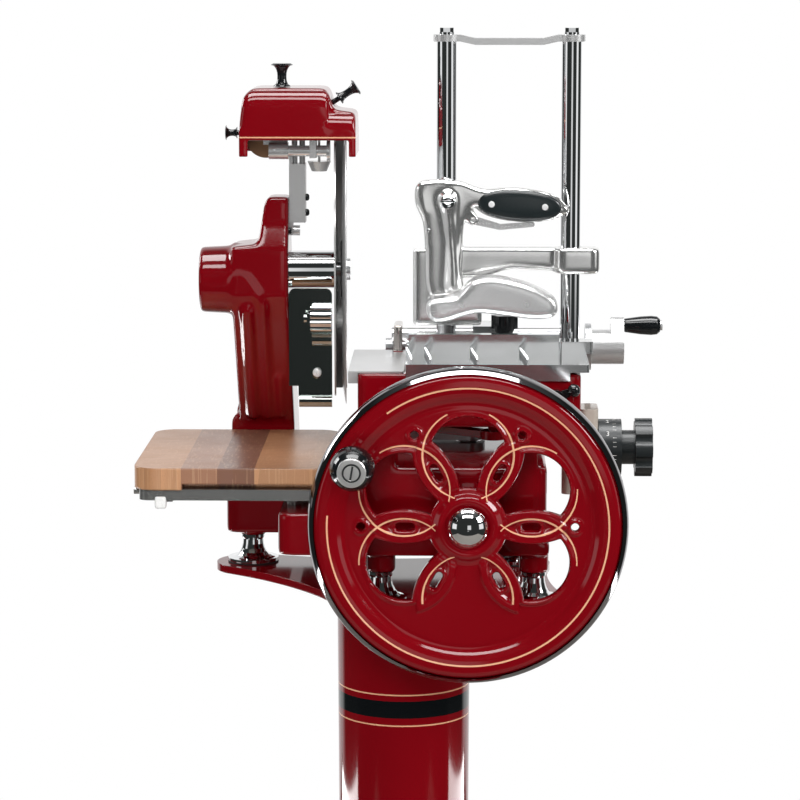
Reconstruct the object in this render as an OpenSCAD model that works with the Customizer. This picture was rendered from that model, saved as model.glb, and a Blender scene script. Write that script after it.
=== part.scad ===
// Flywheel meat slicer, turned by hand, on its round pedestal.
// Millimetres. +X is to the right, +Y away from the wheel, +Z up. The origin is on the floor,
// at the middle of the column. Heights with the ending _z count from the top plate.

/* [Pedestal] */
// Height of the top plate above the floor
ped_h = 790; // [650:5:900]
// Column, across, at the top
col_d = 156; // [130:1:180]
// Column, across, at the bottom
col_low_d = 148; // [120:1:180]
// Wall of the column
col_wall = 6; // [4:0.5:12]
// Flared base, across
stand_d = 480; // [380:5:560]
// Flared base, height
stand_h = 96; // [70:1:140]
// Rim of the flared base, height
stand_rim_h = 16; // [10:1:24]
// Wall of the flared base
stand_wall = 8; // [6:0.5:14]
// Top plate, thickness
plate_t = 9; // [6:0.5:14]
// Lobe of the top plate round each foot, radius
lobe_r = 44; // [36:1:50]
// Hollow between two lobes, radius
lobe_gap_r = 420; // [360:5:600]

/* [Feet] */
// Foot, across its base
foot_d = 61; // [50:1:70]
// Foot, across its neck
foot_neck_d = 25; // [20:1:30]
// Foot, height with its pad
foot_h = 34; // [28:1:40]
// Pad under a foot, thickness
pad_t = 2; // [1:0.5:4]
// Bolt through a foot, diameter
foot_bolt_d = 10; // [8:1:12]
// Left foot, distance from the column's axis
foot_left_x = 185; // [170:1:190]
// Front left foot, distance to the left of the column's axis
foot_mid_x = 24; // [10:1:40]
// Front right foot, distance to the right of the column's axis
foot_right_x = 150; // [130:1:150]
// Rear right foot, distance to the right of the column's axis
foot_back_x = 130; // [110:1:145]
// Rear feet, distance behind the column's axis
foot_back_y = 121; // [105:1:135]
// Front feet, distance in front of the column's axis
foot_front_y = 100; // [85:1:108]

/* [Base casting] */
// Left side of the broad lower part
base_left_x = -140; // [-146:1:-130]
// Right side
base_right_x = 164; // [160:1:172]
// Left side of the narrow upper part
base_step_x = -70; // [-76:1:-60]
// Front face
base_front_y = -130; // [-133:1:-128]
// Rear face
base_back_y = 288; // [284:1:300]
// Underside
base_low_z = 57; // [50:1:64]
// Top of the lower part
base_step_z = 105; // [100:1:108]
// Top of the upper part
base_top_z = 158; // [156:0.5:159]
// Wall of the casting
base_wall = 8; // [5:0.5:10]
// Rounding of the upright edges
base_round = 16; // [12:1:24]
// Left side of the rear wing
wing_left_x = -215; // [-225:1:-210]
// Front of the rear wing
wing_front_y = 84; // [76:1:92]
// Underside of the rear wing
wing_low_z = 41; // [38:1:50]
// Radius of the leg over each foot
leg_r = 17; // [15:1:20]

/* [Flywheel] */
// Flywheel, across its rim
wheel_d = 358; // [340:1:366]
// Axis of the flywheel, to the right of the column's axis
wheel_x = 75; // [70:1:80]
// Axis of the flywheel, height
wheel_z = 100; // [98:0.5:102]
// Front of the wheel's face, distance in front of the column's axis
wheel_front = 185; // [182:1:190]
// Rim, width
rim_w = 33; // [28:1:34]
// Chrome of the rim, depth
rim_t = 7; // [5:0.5:10]
// Web of the wheel, thickness
web_t = 9; // [7:0.5:12]
// Hub of the wheel, radius
hub_r = 36; // [30:1:40]
// Circle on which the openings lie, radius
window_ring_r = 81.5; // [78:0.5:84]
// Round opening, radius
window_r = 42.5; // [36:0.5:43]
// Half width of a spoke
spoke_half = 19; // [16:0.5:21]
// Arc along the edge of a spoke, radius
spoke_arc_r = 86; // [80:1:110]
// Raised lip round the openings, width
lip_w = 4; // [2:0.5:5]
// Raised lip, height
lip_h = 2.5; // [1:0.5:4]
// Shaft of the flywheel, diameter
shaft_d = 20; // [16:1:22]

/* [Turning knob] */
// Ball of the knob, across
ball_d = 50; // [40:1:52]
// Ball of the knob, length
ball_l = 58; // [45:1:64]
// Spindle of the knob, diameter
spindle_d = 12; // [9:1:14]
// Place of the knob, distance from the wheel's axis
knob_ring_r = 146; // [142:1:147]
// Place of the knob, angle round the wheel
knob_angle = 150; // [145:1:155]

/* [Blade] */
// Blade, across
blade_d = 319; // [300:1:320]
// Middle of the blade, left of the column's axis
blade_x = -72.5; // [-74:0.5:-72.5]
// Middle of the blade, behind the column's axis
blade_y = 94; // [90:0.5:98]
// Middle of the blade, height
blade_z = 358.5; // [356:0.5:362]
// Turn of the blade out of the carriage's way of travel
blade_toe = 2.4; // [0:0.1:2.4]
// Blade, thickness of its plate
blade_t = 3; // [2:0.5:4]
// Blade, width of the hollow ground edge
edge_w = 20; // [12:1:30]
// Shaft of the blade, diameter
blade_shaft_d = 16; // [12:1:18]
// Housing of the blade's shaft, across
housing_d = 45; // [36:1:48]
// Guard plate beside the blade, radius
guard_r = 150; // [130:1:152]
// Guard ring round the rear of the blade, gap to the edge
guard_gap = 5; // [3:0.5:8]

/* [Head casting] */
// Right face of the head
head_right_x = -137; // [-138:0.5:-136]
// Left face of the column of the head
head_left_x = -204; // [-208:1:-202]
// Left end of the round boss
boss_left_x = -243; // [-256:1:-238]
// Top of the head
head_top_z = 446; // [440:1:452]
// Wall round the chain case
case_wall = 6; // [4:0.5:7]
// Plane of the chain
chain_x = -172; // [-174:0.5:-170]

/* [Drive] */
// Teeth of the pinion that turns the crank gear
pinion_teeth = 12; // [12:12:12]
// Teeth of the crank gear
crank_teeth = 24; // [24:12:24]
// Tooth size of the crank drive, pitch diameter over teeth
crank_module = 5; // [4.5:0.5:5]
// Teeth of the bevel gear on the flywheel's shaft
bevel_teeth = 36; // [36:12:36]
// Teeth of the bevel gear on the cross shaft
cross_teeth = 18; // [18:12:18]
// Tooth size of the blade drive, pitch diameter over teeth
bevel_module = 2.45; // [2.2:0.05:2.5]
// Cross shaft, distance behind the column's axis
cross_y = 242; // [240:0.5:244]
// Cross shaft, diameter
cross_d = 16; // [12:1:16]
// Crank, axis behind the column's axis
crank_y = 72; // [70:0.5:74]
// Crank, radius
crank_r = 88; // [70:1:90]
// Crank arm, thickness
crank_t = 10; // [6:0.5:10]
// Connecting rod, thickness
rod_t = 10; // [6:0.5:10]
// Pin of the crank and of the rod, diameter
rod_pin_d = 12; // [8:1:14]
// Chain, pitch
chain_pitch = 9.525; // [9.525:0.1:9.525]
// Teeth of the driving sprocket
drive_teeth = 16; // [14:1:16]
// Teeth of the blade's sprocket
driven_teeth = 12; // [10:1:12]

/* [Carriage] */
// Slide rail, diameter
rail_d = 20; // [16:1:22]
// Left rail
rail_left_x = -20; // [-24:1:-16]
// Right rail
rail_right_x = 140; // [136:1:142]
// Height of the rails
rail_z = 206; // [204:0.5:210]
// Left side of the carriage
car_left_x = -53; // [-56:1:-50]
// Right side of the carriage
car_right_x = 205; // [200:1:208]
// Front of the carriage
car_front_y = -28; // [-28:1:-24]
// Rear of the carriage
car_back_y = 172; // [168:1:172]
// Underside of the carriage
car_low_z = 188; // [187:0.5:190]
// Top of the carriage
car_top_z = 250; // [248:0.5:252]
// Wall of the carriage
car_wall = 8; // [6:0.5:10]
// Place of the rod's pin, to the right of the column's axis
rod_x = 104; // [100:1:108]
// Place of the rod's pin, in front of the column's axis
rod_front = 8; // [6:0.5:10]
// Plate beside the blade, left edge
side_plate_x = -64; // [-64:0.5:-60]

/* [Meat table] */
// Table, left edge
table_left_x = 2; // [1:0.5:6]
// Table, right edge
table_right_x = 214; // [212:1:220]
// Table, front edge
table_front_y = -33; // [-36:1:-31]
// Table, rear edge
table_back_y = 150; // [148:1:153]
// Table, top
table_z = 262; // [260:0.5:264]
// Table, thickness
table_t = 9; // [6:0.5:10]
// Apron along the front, height with the table
apron_h = 19; // [12:1:22]
// Serrated strip, height
spike_h = 8; // [5:0.5:10]
// Serrated strip, thickness
spike_t = 2; // [1.5:0.5:3]
// Teeth on a serrated strip
spike_teeth = 14; // [10:1:20]
// Fence bar, height
fence_h = 22; // [16:1:24]
// Fence bar, thickness
fence_t = 14; // [8:1:16]
// Fence bar, distance behind the column's axis
fence_y = 68; // [64:1:74]
// Rail tube behind the table, across
tube_d = 18.5; // [14:0.5:20]
// Rail tube, height of its axis
tube_z = 271; // [270:0.5:273]
// Rail tube, distance behind the column's axis
tube_y = 165; // [164.5:0.5:166]
// Feed screw, diameter
screw_d = 14; // [10:1:16]
// Feed screw, height of its axis
screw_z = 254; // [252:0.5:256]
// Feed screw, distance behind the column's axis
screw_y = 189; // [187:0.5:191]
// Feed crank, from the screw to the handle
feed_r = 26.5; // [22:0.5:32]
// Feed handle, length
feed_handle_l = 44; // [36:1:60]

/* [Clamp] */
// Column of the clamp, diameter
post_d = 24; // [18:1:26]
// Left column
post_left_x = 48; // [46:0.5:50]
// Right column
post_right_x = 196.5; // [194:0.5:198]
// Columns, distance behind the column's axis
post_y = 139; // [137:0.5:140]
// Top of the columns
post_top_z = 626; // [600:1:660]
// Bridge on the columns, thickness
bridge_t = 8; // [6:0.5:12]
// Arm of the carrier, top
carrier_top_z = 376; // [370:1:380]
// Arm of the carrier, height
carrier_h = 27; // [20:1:30]
// Grip scales, length
grip_l = 100; // [80:1:104]
// Grip scales, height
grip_h = 36; // [28:1:38]

/* [Thickness control] */
// Light housing, left side
dial_left_x = 184; // [182:0.5:186]
// Light housing, width
dial_w = 42; // [36:1:44]
// Light housing, front to back
dial_deep = 50; // [40:1:54]
// Axis of the knob, height
dial_z = 158; // [154:1:160]
// Axis of the knob, behind the column's axis
dial_y = 20; // [14:1:24]
// Drum with the numbers, across
drum_d = 66; // [50:1:68]
// Drum, length
drum_l = 27; // [20:1:30]
// Lobed knob, across
lobed_d = 68; // [56:1:74]

/* [Sharpener] */
// Cover, left side
cover_left_x = -193; // [-198:1:-191]
// Cover, right side
cover_right_x = -57; // [-60:0.5:-56]
// Cover, front to back
cover_deep = 104; // [96:1:120]
// Cover, top
cover_top_z = 574; // [568:1:580]
// Cover, lower edge of its front
cover_low_z = 514; // [512:1:518]
// Cover, lower end of its side walls
cover_leg_z = 495; // [488:1:497]
// Cover, wall
cover_wall = 4; // [3:0.5:6]

/* [Board] */
// Board, left edge
board_left_x = -304; // [-320:1:-290]
// Board, right edge
board_right_x = -80; // [-82:1:-78]
// Board, front edge
board_front_y = -122; // [-126:1:-110]
// Board, rear edge
board_back_y = 160; // [150:1:162]
// Board, top
board_z = 155; // [154:0.5:158]
// Board, thickness
board_t = 25; // [18:1:26]
// Tray under the board, height of its edge
tray_h = 12.5; // [8:0.5:14]
// Tray, sheet thickness
sheet_t = 2.5; // [1.5:0.5:3]

/* [Hidden] */
$fn = 64;

// Clearance round a shaft in its bore
fit = 0.05;
// Clearance between two pieces that pass each other
gap = 0.5;
// Overrun of every cut
over = 2;
// Depth to which joined forms of one piece sink into each other
sink = 1;
// Low step between two faces
step = 2;
// Small rounding of corners
corner_r = 3;
// Share of a round end's radius at which its tangents meet it
meet = 0.9995;

red = [0.62, 0.02, 0.05];
steel = [0.75, 0.76, 0.78];
dark = [0.08, 0.09, 0.09];
alloy = [0.70, 0.70, 0.69];

foot_places = [
  [-foot_left_x, foot_back_y], [-foot_mid_x, -foot_front_y],
  [foot_right_x, -foot_front_y], [foot_back_x, foot_back_y]
];

module on_deck() {
  translate([0, 0, ped_h]) children();
}

// A round bar along X, Y or Z between two places
module bar_x(r, x0, x1, y, z) {
  translate([x0, y, z]) rotate([0, 90, 0]) cylinder(h = x1 - x0, r = r);
}

module bar_y(r, y0, y1, x, z) {
  translate([x, y0, z]) rotate([-90, 0, 0]) cylinder(h = y1 - y0, r = r);
}

module bar_z(r, z0, z1, x, y) {
  translate([x, y, z0]) cylinder(h = z1 - z0, r = r);
}

module slab(x0, x1, y0, y1, z0, z1) {
  translate([x0, y0, z0]) cube([x1 - x0, y1 - y0, z1 - z0]);
}

// A block whose upright edges are rounded
module round_slab(x0, x1, y0, y1, z0, z1, r) {
  slab(x0 + r, x1 - r, y0, y1, z0, z1);
  slab(x0, x1, y0 + r, y1 - r, z0, z1);
  for (x = [x0 + r, x1 - r], y = [y0 + r, y1 - r]) bar_z(r, z0, z1, x, y);
}

// Outline that is drawn in Y and Z and reaches from x0 to x1
module side_form(x0, x1) {
  translate([x0, 0, 0]) rotate([90, 0, 90]) linear_extrude(x1 - x0) children();
}

// Outline that is drawn in X and Z and reaches from y0 to y1
module front_form(y0, y1) {
  translate([0, y1, 0]) rotate([90, 0, 0]) linear_extrude(y1 - y0) children();
}

// Two round ends joined by their common tangents
module link_2d(p, q, rp, rq) {
  d = norm(q - p);
  a = atan2(q[1] - p[1], q[0] - p[0]);
  b = acos((rp - rq) / d);
  translate(p) circle(r = rp);
  translate(q) circle(r = rq);
  polygon([
    p + meet * rp * [cos(a + b), sin(a + b)], q + meet * rq * [cos(a + b), sin(a + b)],
    q + meet * rq * [cos(a - b), sin(a - b)], p + meet * rp * [cos(a - b), sin(a - b)]
  ]);
}

function between(p, q, r, s, t) =
  (2 * q + (r - p) * t + (2 * p - 5 * q + 4 * r - s) * t * t + (3 * q - p - 3 * r + s) * t * t * t) / 2;

// Closed curve through a list of points
function smooth(pts, steps) =
  let (n = len(pts))
  [for (i = [0 : n - 1], k = [0 : steps - 1])
    between(pts[(i + n - 1) % n], pts[i], pts[(i + 1) % n], pts[(i + 2) % n], k / steps)];

// Bevel gear on the Z axis, wide end at zero, apex upwards
module bevel(teeth, mod, cone, face) {
  r = teeth * mod / 2;
  rise = mod * 0.75;
  root = mod * 0.95;
  pitch = PI * mod;
  body_h = face * cos(cone);
  back = root * sin(cone) * 0.8;
  r_wide = r - root * cos(cone);
  translate([0, 0, -back]) cylinder(h = body_h + back, r1 = r_wide,
    r2 = r_wide - (body_h + back) * tan(cone));
  for (i = [0 : teeth - 1])
    rotate([0, 0, 360 * i / teeth]) translate([r, 0, 0]) rotate([0, -cone, 0])
      linear_extrude(face)
        polygon([
          [-root * 1.3, -pitch * 0.24], [rise, -pitch * 0.1],
          [rise, pitch * 0.1], [-root * 1.3, pitch * 0.24]
        ]);
}

// Fluted round knob along Z
module lobed(r, h, lobes, flute_r) {
  difference() {
    cylinder(h = h, r = r);
    for (i = [0 : lobes - 1])
      rotate([0, 0, 360 * (i + 0.5) / lobes]) translate([r + flute_r * 0.45, 0, -over])
        cylinder(h = h + 2 * over, r = flute_r);
  }
}

// Pedestal

stand_r = stand_d / 2;
stand_lip_share = 0.93;
stand_top_r = col_low_d / 2 + stand_wall;

module stand_profile(inset) {
  top = stand_h - inset;
  neck = stand_top_r - inset;
  edge = stand_r * stand_lip_share - inset;
  sweep = top - stand_rim_h;
  polygon(concat(
    [[0, 0], [stand_r - inset, 0], [stand_r - inset, stand_rim_h - inset]],
    [for (a = [0 : 9 : 90]) [neck + (edge - neck) * (1 - sin(a)),
      stand_rim_h - inset + (sweep + inset) * (1 - cos(a))]],
    [[0, top]]
  ));
}

module pedestal_base() {
  color(red) difference() {
    rotate_extrude($fn = 96) stand_profile(0);
    difference() {
      translate([0, 0, -over]) rotate_extrude($fn = 96) stand_profile(stand_wall);
      bar_z(stand_top_r, -over, stand_h, 0, 0);
    }
    bar_z(col_low_d / 2 - col_wall, stand_wall, stand_h + over, 0, 0);
  }
}

module pedestal_column() {
  low = stand_h;
  color(red) difference() {
    translate([0, 0, low]) cylinder(h = ped_h - plate_t - low, r1 = col_low_d / 2, r2 = col_d / 2, $fn = 96);
    translate([0, 0, low - over])
      cylinder(h = ped_h - plate_t - low - col_wall + over, r1 = col_low_d / 2 - col_wall,
        r2 = col_d / 2 - col_wall);
  }
}

function side_mid(p, q, reach) =
  let (m = (p + q) / 2, d = q - p, h = norm(d) / 2, s = sqrt(reach * reach - h * h))
  m + [d[1], -d[0]] / norm(d) * s;

module pedestal_plate() {
  n = len(foot_places);
  mids = [for (i = [0 : n - 1]) side_mid(foot_places[i], foot_places[(i + 1) % n], lobe_gap_r + lobe_r)];
  color(red) translate([0, 0, ped_h - plate_t]) linear_extrude(plate_t) difference() {
    union() {
      difference() {
        polygon([for (i = [0 : n - 1], k = [0, 1]) k == 0 ? foot_places[i] : mids[i]]);
        for (m = mids) translate(m) circle(r = lobe_gap_r, $fn = 128);
      }
      for (p = foot_places) translate(p) circle(r = lobe_r);
      circle(r = col_d / 2);
    }
    for (p = foot_places) translate(p) circle(d = foot_bolt_d);
  }
}

module at_feet() {
  on_deck() for (p = foot_places) translate(p) children();
}

module feet() {
  bell = foot_d / 2;
  neck = foot_neck_d / 2;
  rise = foot_h - pad_t;
  rim = rise * 0.12;
  color(steel) at_feet() translate([0, 0, pad_t]) difference() {
    rotate_extrude() polygon(concat(
      [[0, 0], [bell, 0], [bell, rim]],
      [for (a = [0 : 15 : 90]) [neck + (bell - rim - neck) * (1 - sin(a)),
        rim + (rise * 0.7) * (1 - cos(a))]],
      [[neck * 1.12, rise * 0.9], [neck * 1.12, rise], [0, rise]]
    ));
    translate([0, 0, -over]) cylinder(h = rise + 2 * over, d = foot_bolt_d);
  }
}

module foot_pads() {
  color(dark) at_feet() difference() {
    cylinder(h = pad_t, d = foot_d);
    translate([0, 0, -over]) cylinder(h = pad_t + 2 * over, d = foot_bolt_d);
  }
}

bolt_head_t = 7;
bolt_head_d = 17;
bolt_grip = 20;

module foot_bolts() {
  color(steel) at_feet() {
    translate([0, 0, -plate_t - bolt_head_t]) cylinder(h = bolt_head_t, d = bolt_head_d, $fn = 6);
    translate([0, 0, -plate_t]) cylinder(h = plate_t + foot_h + bolt_grip, d = foot_bolt_d - 2 * fit);
  }
}

// Base casting: a broad lower case, a narrow upper case and the wing under the head

wheel_boss_r = 26;
wheel_boss_l = 15;
inner_wall_y = 180;
cross_bracket_x = -14;
cross_bracket_w = 14;
crank_boss_r = 20;
tunnel_r = 14;
rail_post_w = 26;
rail_post_t = 10;
pinion_r = pinion_teeth * crank_module / 2;
crank_gear_r = crank_teeth * crank_module / 2;
bevel_r = bevel_teeth * bevel_module / 2;
cross_r = cross_teeth * bevel_module / 2;
roller_r = 3.1;
link_half = 3.6;
chain_way = 3;
chain_case_r = sprocket_r(drive_teeth) + link_half + chain_way;
blade_case_r = sprocket_r(driven_teeth) + link_half + chain_way;
cover_t = 5;
head_web = 11;
case_left_x = head_left_x + cover_t;
case_right_x = head_right_x - head_web;
sprocket_y = blade_y - (blade_x - chain_x) * tan(blade_toe);
case_low = [cross_y, wheel_z];
case_high = [sprocket_y, blade_z];

module base_shell() {
  difference() {
    union() {
      round_slab(base_left_x, base_right_x, base_front_y, base_back_y, base_low_z, base_step_z, base_round);
      round_slab(base_step_x, base_right_x, base_front_y, base_back_y, base_low_z, base_top_z, base_round);
      round_slab(wing_left_x, base_left_x + 2 * base_round, wing_front_y, base_back_y, wing_low_z,
        base_step_z, base_round);
      bar_y(wheel_boss_r, base_front_y - wheel_boss_l, base_front_y + base_wall, wheel_x, wheel_z);
    }
    round_slab(base_left_x + base_wall, base_right_x - base_wall, base_front_y + base_wall,
      base_back_y - base_wall, -over, base_step_z - base_wall, base_round - base_wall);
    round_slab(base_step_x + base_wall, base_right_x - base_wall, base_front_y + base_wall,
      base_back_y - base_wall, -over, base_top_z - base_wall, base_round - base_wall);
    round_slab(wing_left_x + base_wall, base_left_x - base_wall, wing_front_y + base_wall,
      base_back_y - base_wall, -over, base_step_z - base_wall, base_round - base_wall);
  }
}

module rail_posts() {
  post_top = rail_z + rail_d / 2 + rail_post_t / 2;
  for (x = [rail_left_x, rail_right_x]) {
    slab(x - rail_post_w / 2, x + rail_post_w / 2, base_front_y, base_front_y + rail_post_t, base_top_z,
      post_top);
    slab(x - rail_post_w / 2, x + rail_post_w / 2, base_back_y - 2 * rail_post_t, base_back_y, base_top_z,
      post_top);
  }
}

module base_casting() {
  color(red) on_deck() difference() {
    union() {
      base_shell();
      for (p = foot_places)
        bar_z(leg_r, foot_h, base_step_z - base_wall, p[0], p[1]);
      for (p = [foot_places[1], foot_places[2]])
        slab(p[0] - leg_r, p[0] + leg_r, base_front_y + sink, p[1], base_low_z, base_low_z + leg_r);
      slab(foot_back_x, base_right_x - sink, foot_back_y - leg_r, foot_back_y + leg_r, base_low_z,
        base_low_z + leg_r);
      rail_posts();
      slab(base_step_x + sink, base_right_x - sink, inner_wall_y, inner_wall_y + base_wall, base_low_z,
        base_top_z - sink);
      bar_y(wheel_boss_r, inner_wall_y - base_wall, inner_wall_y + base_wall, wheel_x, wheel_z);
      slab(cross_bracket_x, cross_bracket_x + cross_bracket_w, cross_y - cross_d, base_back_y - base_wall / 2,
        wheel_z - cross_d, wheel_z + cross_d);
      bar_z(crank_boss_r, crank_gear_top_z + gap, base_top_z, wheel_x, crank_y);
      bar_x(tunnel_r, base_left_x - base_wall, base_step_x + step, cross_y, wheel_z);
    }
    bar_y(shaft_d / 2 + fit, base_front_y - wheel_boss_l - over, cross_y, wheel_x, wheel_z);
    bar_x(cross_d / 2 + fit, case_left_x, wheel_x, cross_y, wheel_z);
    bar_z(shaft_d / 2 + fit, wheel_z + shaft_d, base_top_z + over, wheel_x, crank_y);
    for (x = [rail_left_x, rail_right_x])
      bar_y(rail_d / 2 + fit, base_front_y - over, base_back_y + over, x, rail_z);
    for (p = foot_places)
      bar_z(foot_bolt_d / 2, 0, foot_h + bolt_grip + over, p[0], p[1]);
    case_window();
  }
}

// The way of the chain from the wing up into the head
module case_window() {
  side_form(case_left_x, case_right_x) link_2d(case_low, case_high, chain_case_r, blade_case_r);
}

module slide_rails() {
  color(steel) on_deck() for (x = [rail_left_x, rail_right_x])
    bar_y(rail_d / 2, base_front_y, base_back_y, x, rail_z);
}

// Head casting: a column that leans forward over the board and carries the blade

head_back_y = base_back_y - step;
head_way = 6;
head_front_y = board_back_y + head_way;
boss_r = 41.5;
boss_share = 0.93;
boss_drop = 12;
boss_low_r = 40.5;
boss_floor = 10;
top_half = 23;
head_flange = 14;
head_heel = 30;
head_toe = 5;
// Bends of the head, from the lower and from the upper end of the chain
head_low = [[40, 115], [-20, 200], [-40, 150], [22, 72]];
head_high = [[-42, -28], [-42, 26], [-27, 58], [35, 46], [58, -18]];
// Its left side near the top, from the blade's height and from the top
head_shoulder = [[0, 30], [28, 33], [32, 38]];
head_crown = [[38, -8], [43, 0]];
// Lower end of the cover over the chain, from the cross shaft, and the margin round the case
cover_low = [-14, 38];
cover_margin = 8;

module head_outline() {
  middle = [blade_y, blade_z];
  polygon([
    [head_front_y, base_step_z], [head_front_y, board_z + head_toe], [sprocket_y, wheel_z] + head_low[0],
    [sprocket_y, wheel_z] + head_low[1], middle + head_high[0], middle + head_high[1],
    middle + head_high[2], [blade_y - top_half, head_top_z], [blade_y + top_half, head_top_z],
    middle + head_high[3], middle + head_high[4], case_low + head_low[2], case_low + head_low[3],
    [head_back_y, base_step_z + head_heel], [head_back_y, base_step_z]
  ]);
}

module head_casting() {
  color(red) on_deck() difference() {
    union() {
      intersection() {
        side_form(head_left_x, head_right_x) head_outline();
        front_form(0, base_back_y) polygon([
          [head_left_x, base_step_z], [head_left_x, blade_z] + head_shoulder[0],
          [head_left_x, blade_z] + head_shoulder[1], [head_left_x, blade_z] + head_shoulder[2],
          [head_left_x, head_top_z] + head_crown[0],
          [head_left_x, head_top_z] + head_crown[1],
          [head_right_x, head_top_z], [head_right_x, base_step_z]
        ]);
      }
      front_form(head_front_y, head_back_y) polygon([
        [head_left_x + sink, base_step_z], [wing_left_x + sink, base_step_z],
        [wing_left_x + sink, board_z + boss_floor], [head_left_x + sink, board_z + 2 * top_half]
      ]);
      round_slab(wing_left_x + sink, head_right_x, head_front_y, head_back_y, base_step_z,
        base_step_z + head_flange, base_round);
    }
    case_window();
    blade_axis() bar_x(blade_shaft_d / 2 + fit, head_left_x - blade_x - over,
      head_right_x - blade_x + over, 0, 0);
    bar_x(tunnel_r + gap, case_right_x - over, head_right_x + over, cross_y, wheel_z);
    cover_plate(boss_drop, gap);
  }
}

module cover_plate(extra, grow) {
  side_form(head_left_x - extra, case_left_x + grow)
    link_2d(case_low + cover_low, case_high, chain_case_r + grow, blade_case_r + cover_margin + grow);
}

// Children are drawn about the middle of the blade, its shaft along X
module blade_axis() {
  translate([blade_x, blade_y, blade_z]) rotate([0, 0, blade_toe]) children();
}

module head_cover() {
  color(red) on_deck() difference() {
    union() {
      intersection() {
        cover_plate(0, 0);
        slab(head_left_x, case_left_x, 0, base_back_y, base_step_z + head_flange + gap, head_top_z);
      }
      translate([boss_left_x, sprocket_y, blade_z - boss_drop]) rotate([0, 90, 0])
        cylinder(h = head_left_x - gap - boss_left_x, r1 = boss_r * boss_share, r2 = boss_low_r);
      bar_x(blade_case_r, head_left_x - over, head_left_x + over, sprocket_y, blade_z);
    }
    blade_axis() bar_x(blade_shaft_d / 2 + fit, boss_left_x + boss_floor - blade_x,
      case_left_x - blade_x + over, 0, 0);
  }
}

guard_x = -12;
guard_t = 2;
housing_grip = 20;
ring_t = 3;
ring_front = 58;
guard_hole = 1;
edge_x = 2;

module blade_housing() {
  color(steel) on_deck() difference() {
    blade_axis() difference() {
      bar_x(housing_d / 2, head_right_x - blade_x - over, guard_x, 0, 0);
      bar_x(blade_shaft_d / 2 + fit, head_right_x - blade_x - 2 * over, guard_x + over, 0, 0);
    }
    slab(head_right_x - housing_grip, head_right_x, 0, 2 * blade_y, blade_z - housing_d, blade_z + housing_d);
  }
}

module blade_guard() {
  ring_r = blade_d / 2 + guard_gap;
  color(steel) on_deck() blade_axis() difference() {
    union() {
      bar_x(guard_r, guard_x, guard_x + guard_t, 0, 0);
      intersection() {
        difference() {
          bar_x(ring_r + ring_t, guard_x, edge_x + sink, 0, 0);
          bar_x(ring_r, guard_x + guard_t, edge_x + over, 0, 0);
        }
        slab(guard_x - over, edge_x + over, ring_front, 2 * ring_r, -ring_r * 0.92, ring_r * 1.1);
      }
    }
    bar_x(blade_shaft_d / 2 + guard_hole, guard_x - over, guard_x + guard_t + over, 0, 0);
  }
}

// Plate that turns the slices down, with its posts

chute_y = 62;
chute_t = 3;
chute_top_z = 339;
chute_low_z = 210;
chute_knob_y = 42;
chute_knob_z = 306;
chute_right_x = -86;
plate_r = 8;
notch = [13, 15];
brace_h = 30;
fork_w = 7;
fork_t = 4;
stud_r = 5;
spacer = [8, 23, 26];
foot_bar_r = 7;
screw_at = [33, 27];
screw_head = [3, 5];
knob_at = 27;
knob_size = [15, 24, 4];

module slice_deflector() {
  back = chute_y + chute_t;
  color(dark) on_deck() difference() {
    union() {
      front_form(chute_y, back) difference() {
        union() {
          translate([head_right_x, chute_low_z])
            square([chute_right_x - head_right_x, chute_top_z - chute_low_z - plate_r]);
          translate([head_right_x + plate_r, chute_top_z - 2 * plate_r])
            square([chute_right_x - head_right_x - 2 * plate_r, 2 * plate_r]);
          for (x = [head_right_x + plate_r, chute_right_x - plate_r])
            translate([x, chute_top_z - plate_r]) circle(r = plate_r);
        }
        translate([head_right_x - over, chute_low_z - over]) square(notch);
      }
      slab(head_right_x, head_right_x + chute_t, chute_y, blade_y - plate_r,
        chute_top_z - plate_r - brace_h, chute_top_z - plate_r);
      slab(head_right_x + knob_at - gap - fork_t, head_right_x + knob_at - gap, chute_knob_y - fork_w,
        chute_y + sink, chute_knob_z - fork_w, chute_knob_z + fork_w);
      bar_x(stud_r, head_right_x + knob_at - plate_r, chute_right_x - step, chute_knob_y, chute_knob_z);
      bar_x(spacer[0], chute_right_x - spacer[1], chute_right_x, chute_y - sleeve_wall,
        chute_knob_z - spacer[2]);
      bar_x(foot_bar_r, head_right_x + notch[0] - sink, chute_right_x, chute_y, chute_low_z - stud_r);
      translate([head_right_x + screw_at[0], chute_y, chute_low_z + screw_at[1]]) rotate([90, 0, 0])
        cylinder(h = screw_head[0], r1 = screw_head[1], r2 = screw_head[0]);
    }
  }
}

module deflector_knob() {
  color(steel) on_deck() translate([head_right_x + knob_at, chute_knob_y, chute_knob_z]) rotate([0, 90, 0])
    difference() {
      lobed(knob_size[0], knob_size[1], 10, knob_size[2]);
      translate([0, 0, -over]) cylinder(h = knob_size[1] + 2 * over, r = stud_r + fit);
    }
}

// Steel tray under the board

tray_low_z = board_z - board_t - tray_h;
tray_post_r = 8;
tray_margin = 6;
tray_r = 12;
tray_posts = [50, 40];
latch = [24, 38, 8, 60];
latch_pin = [4, 8, 30];
board_r = 26;
groove = [56, 20, 18, 7];

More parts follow.
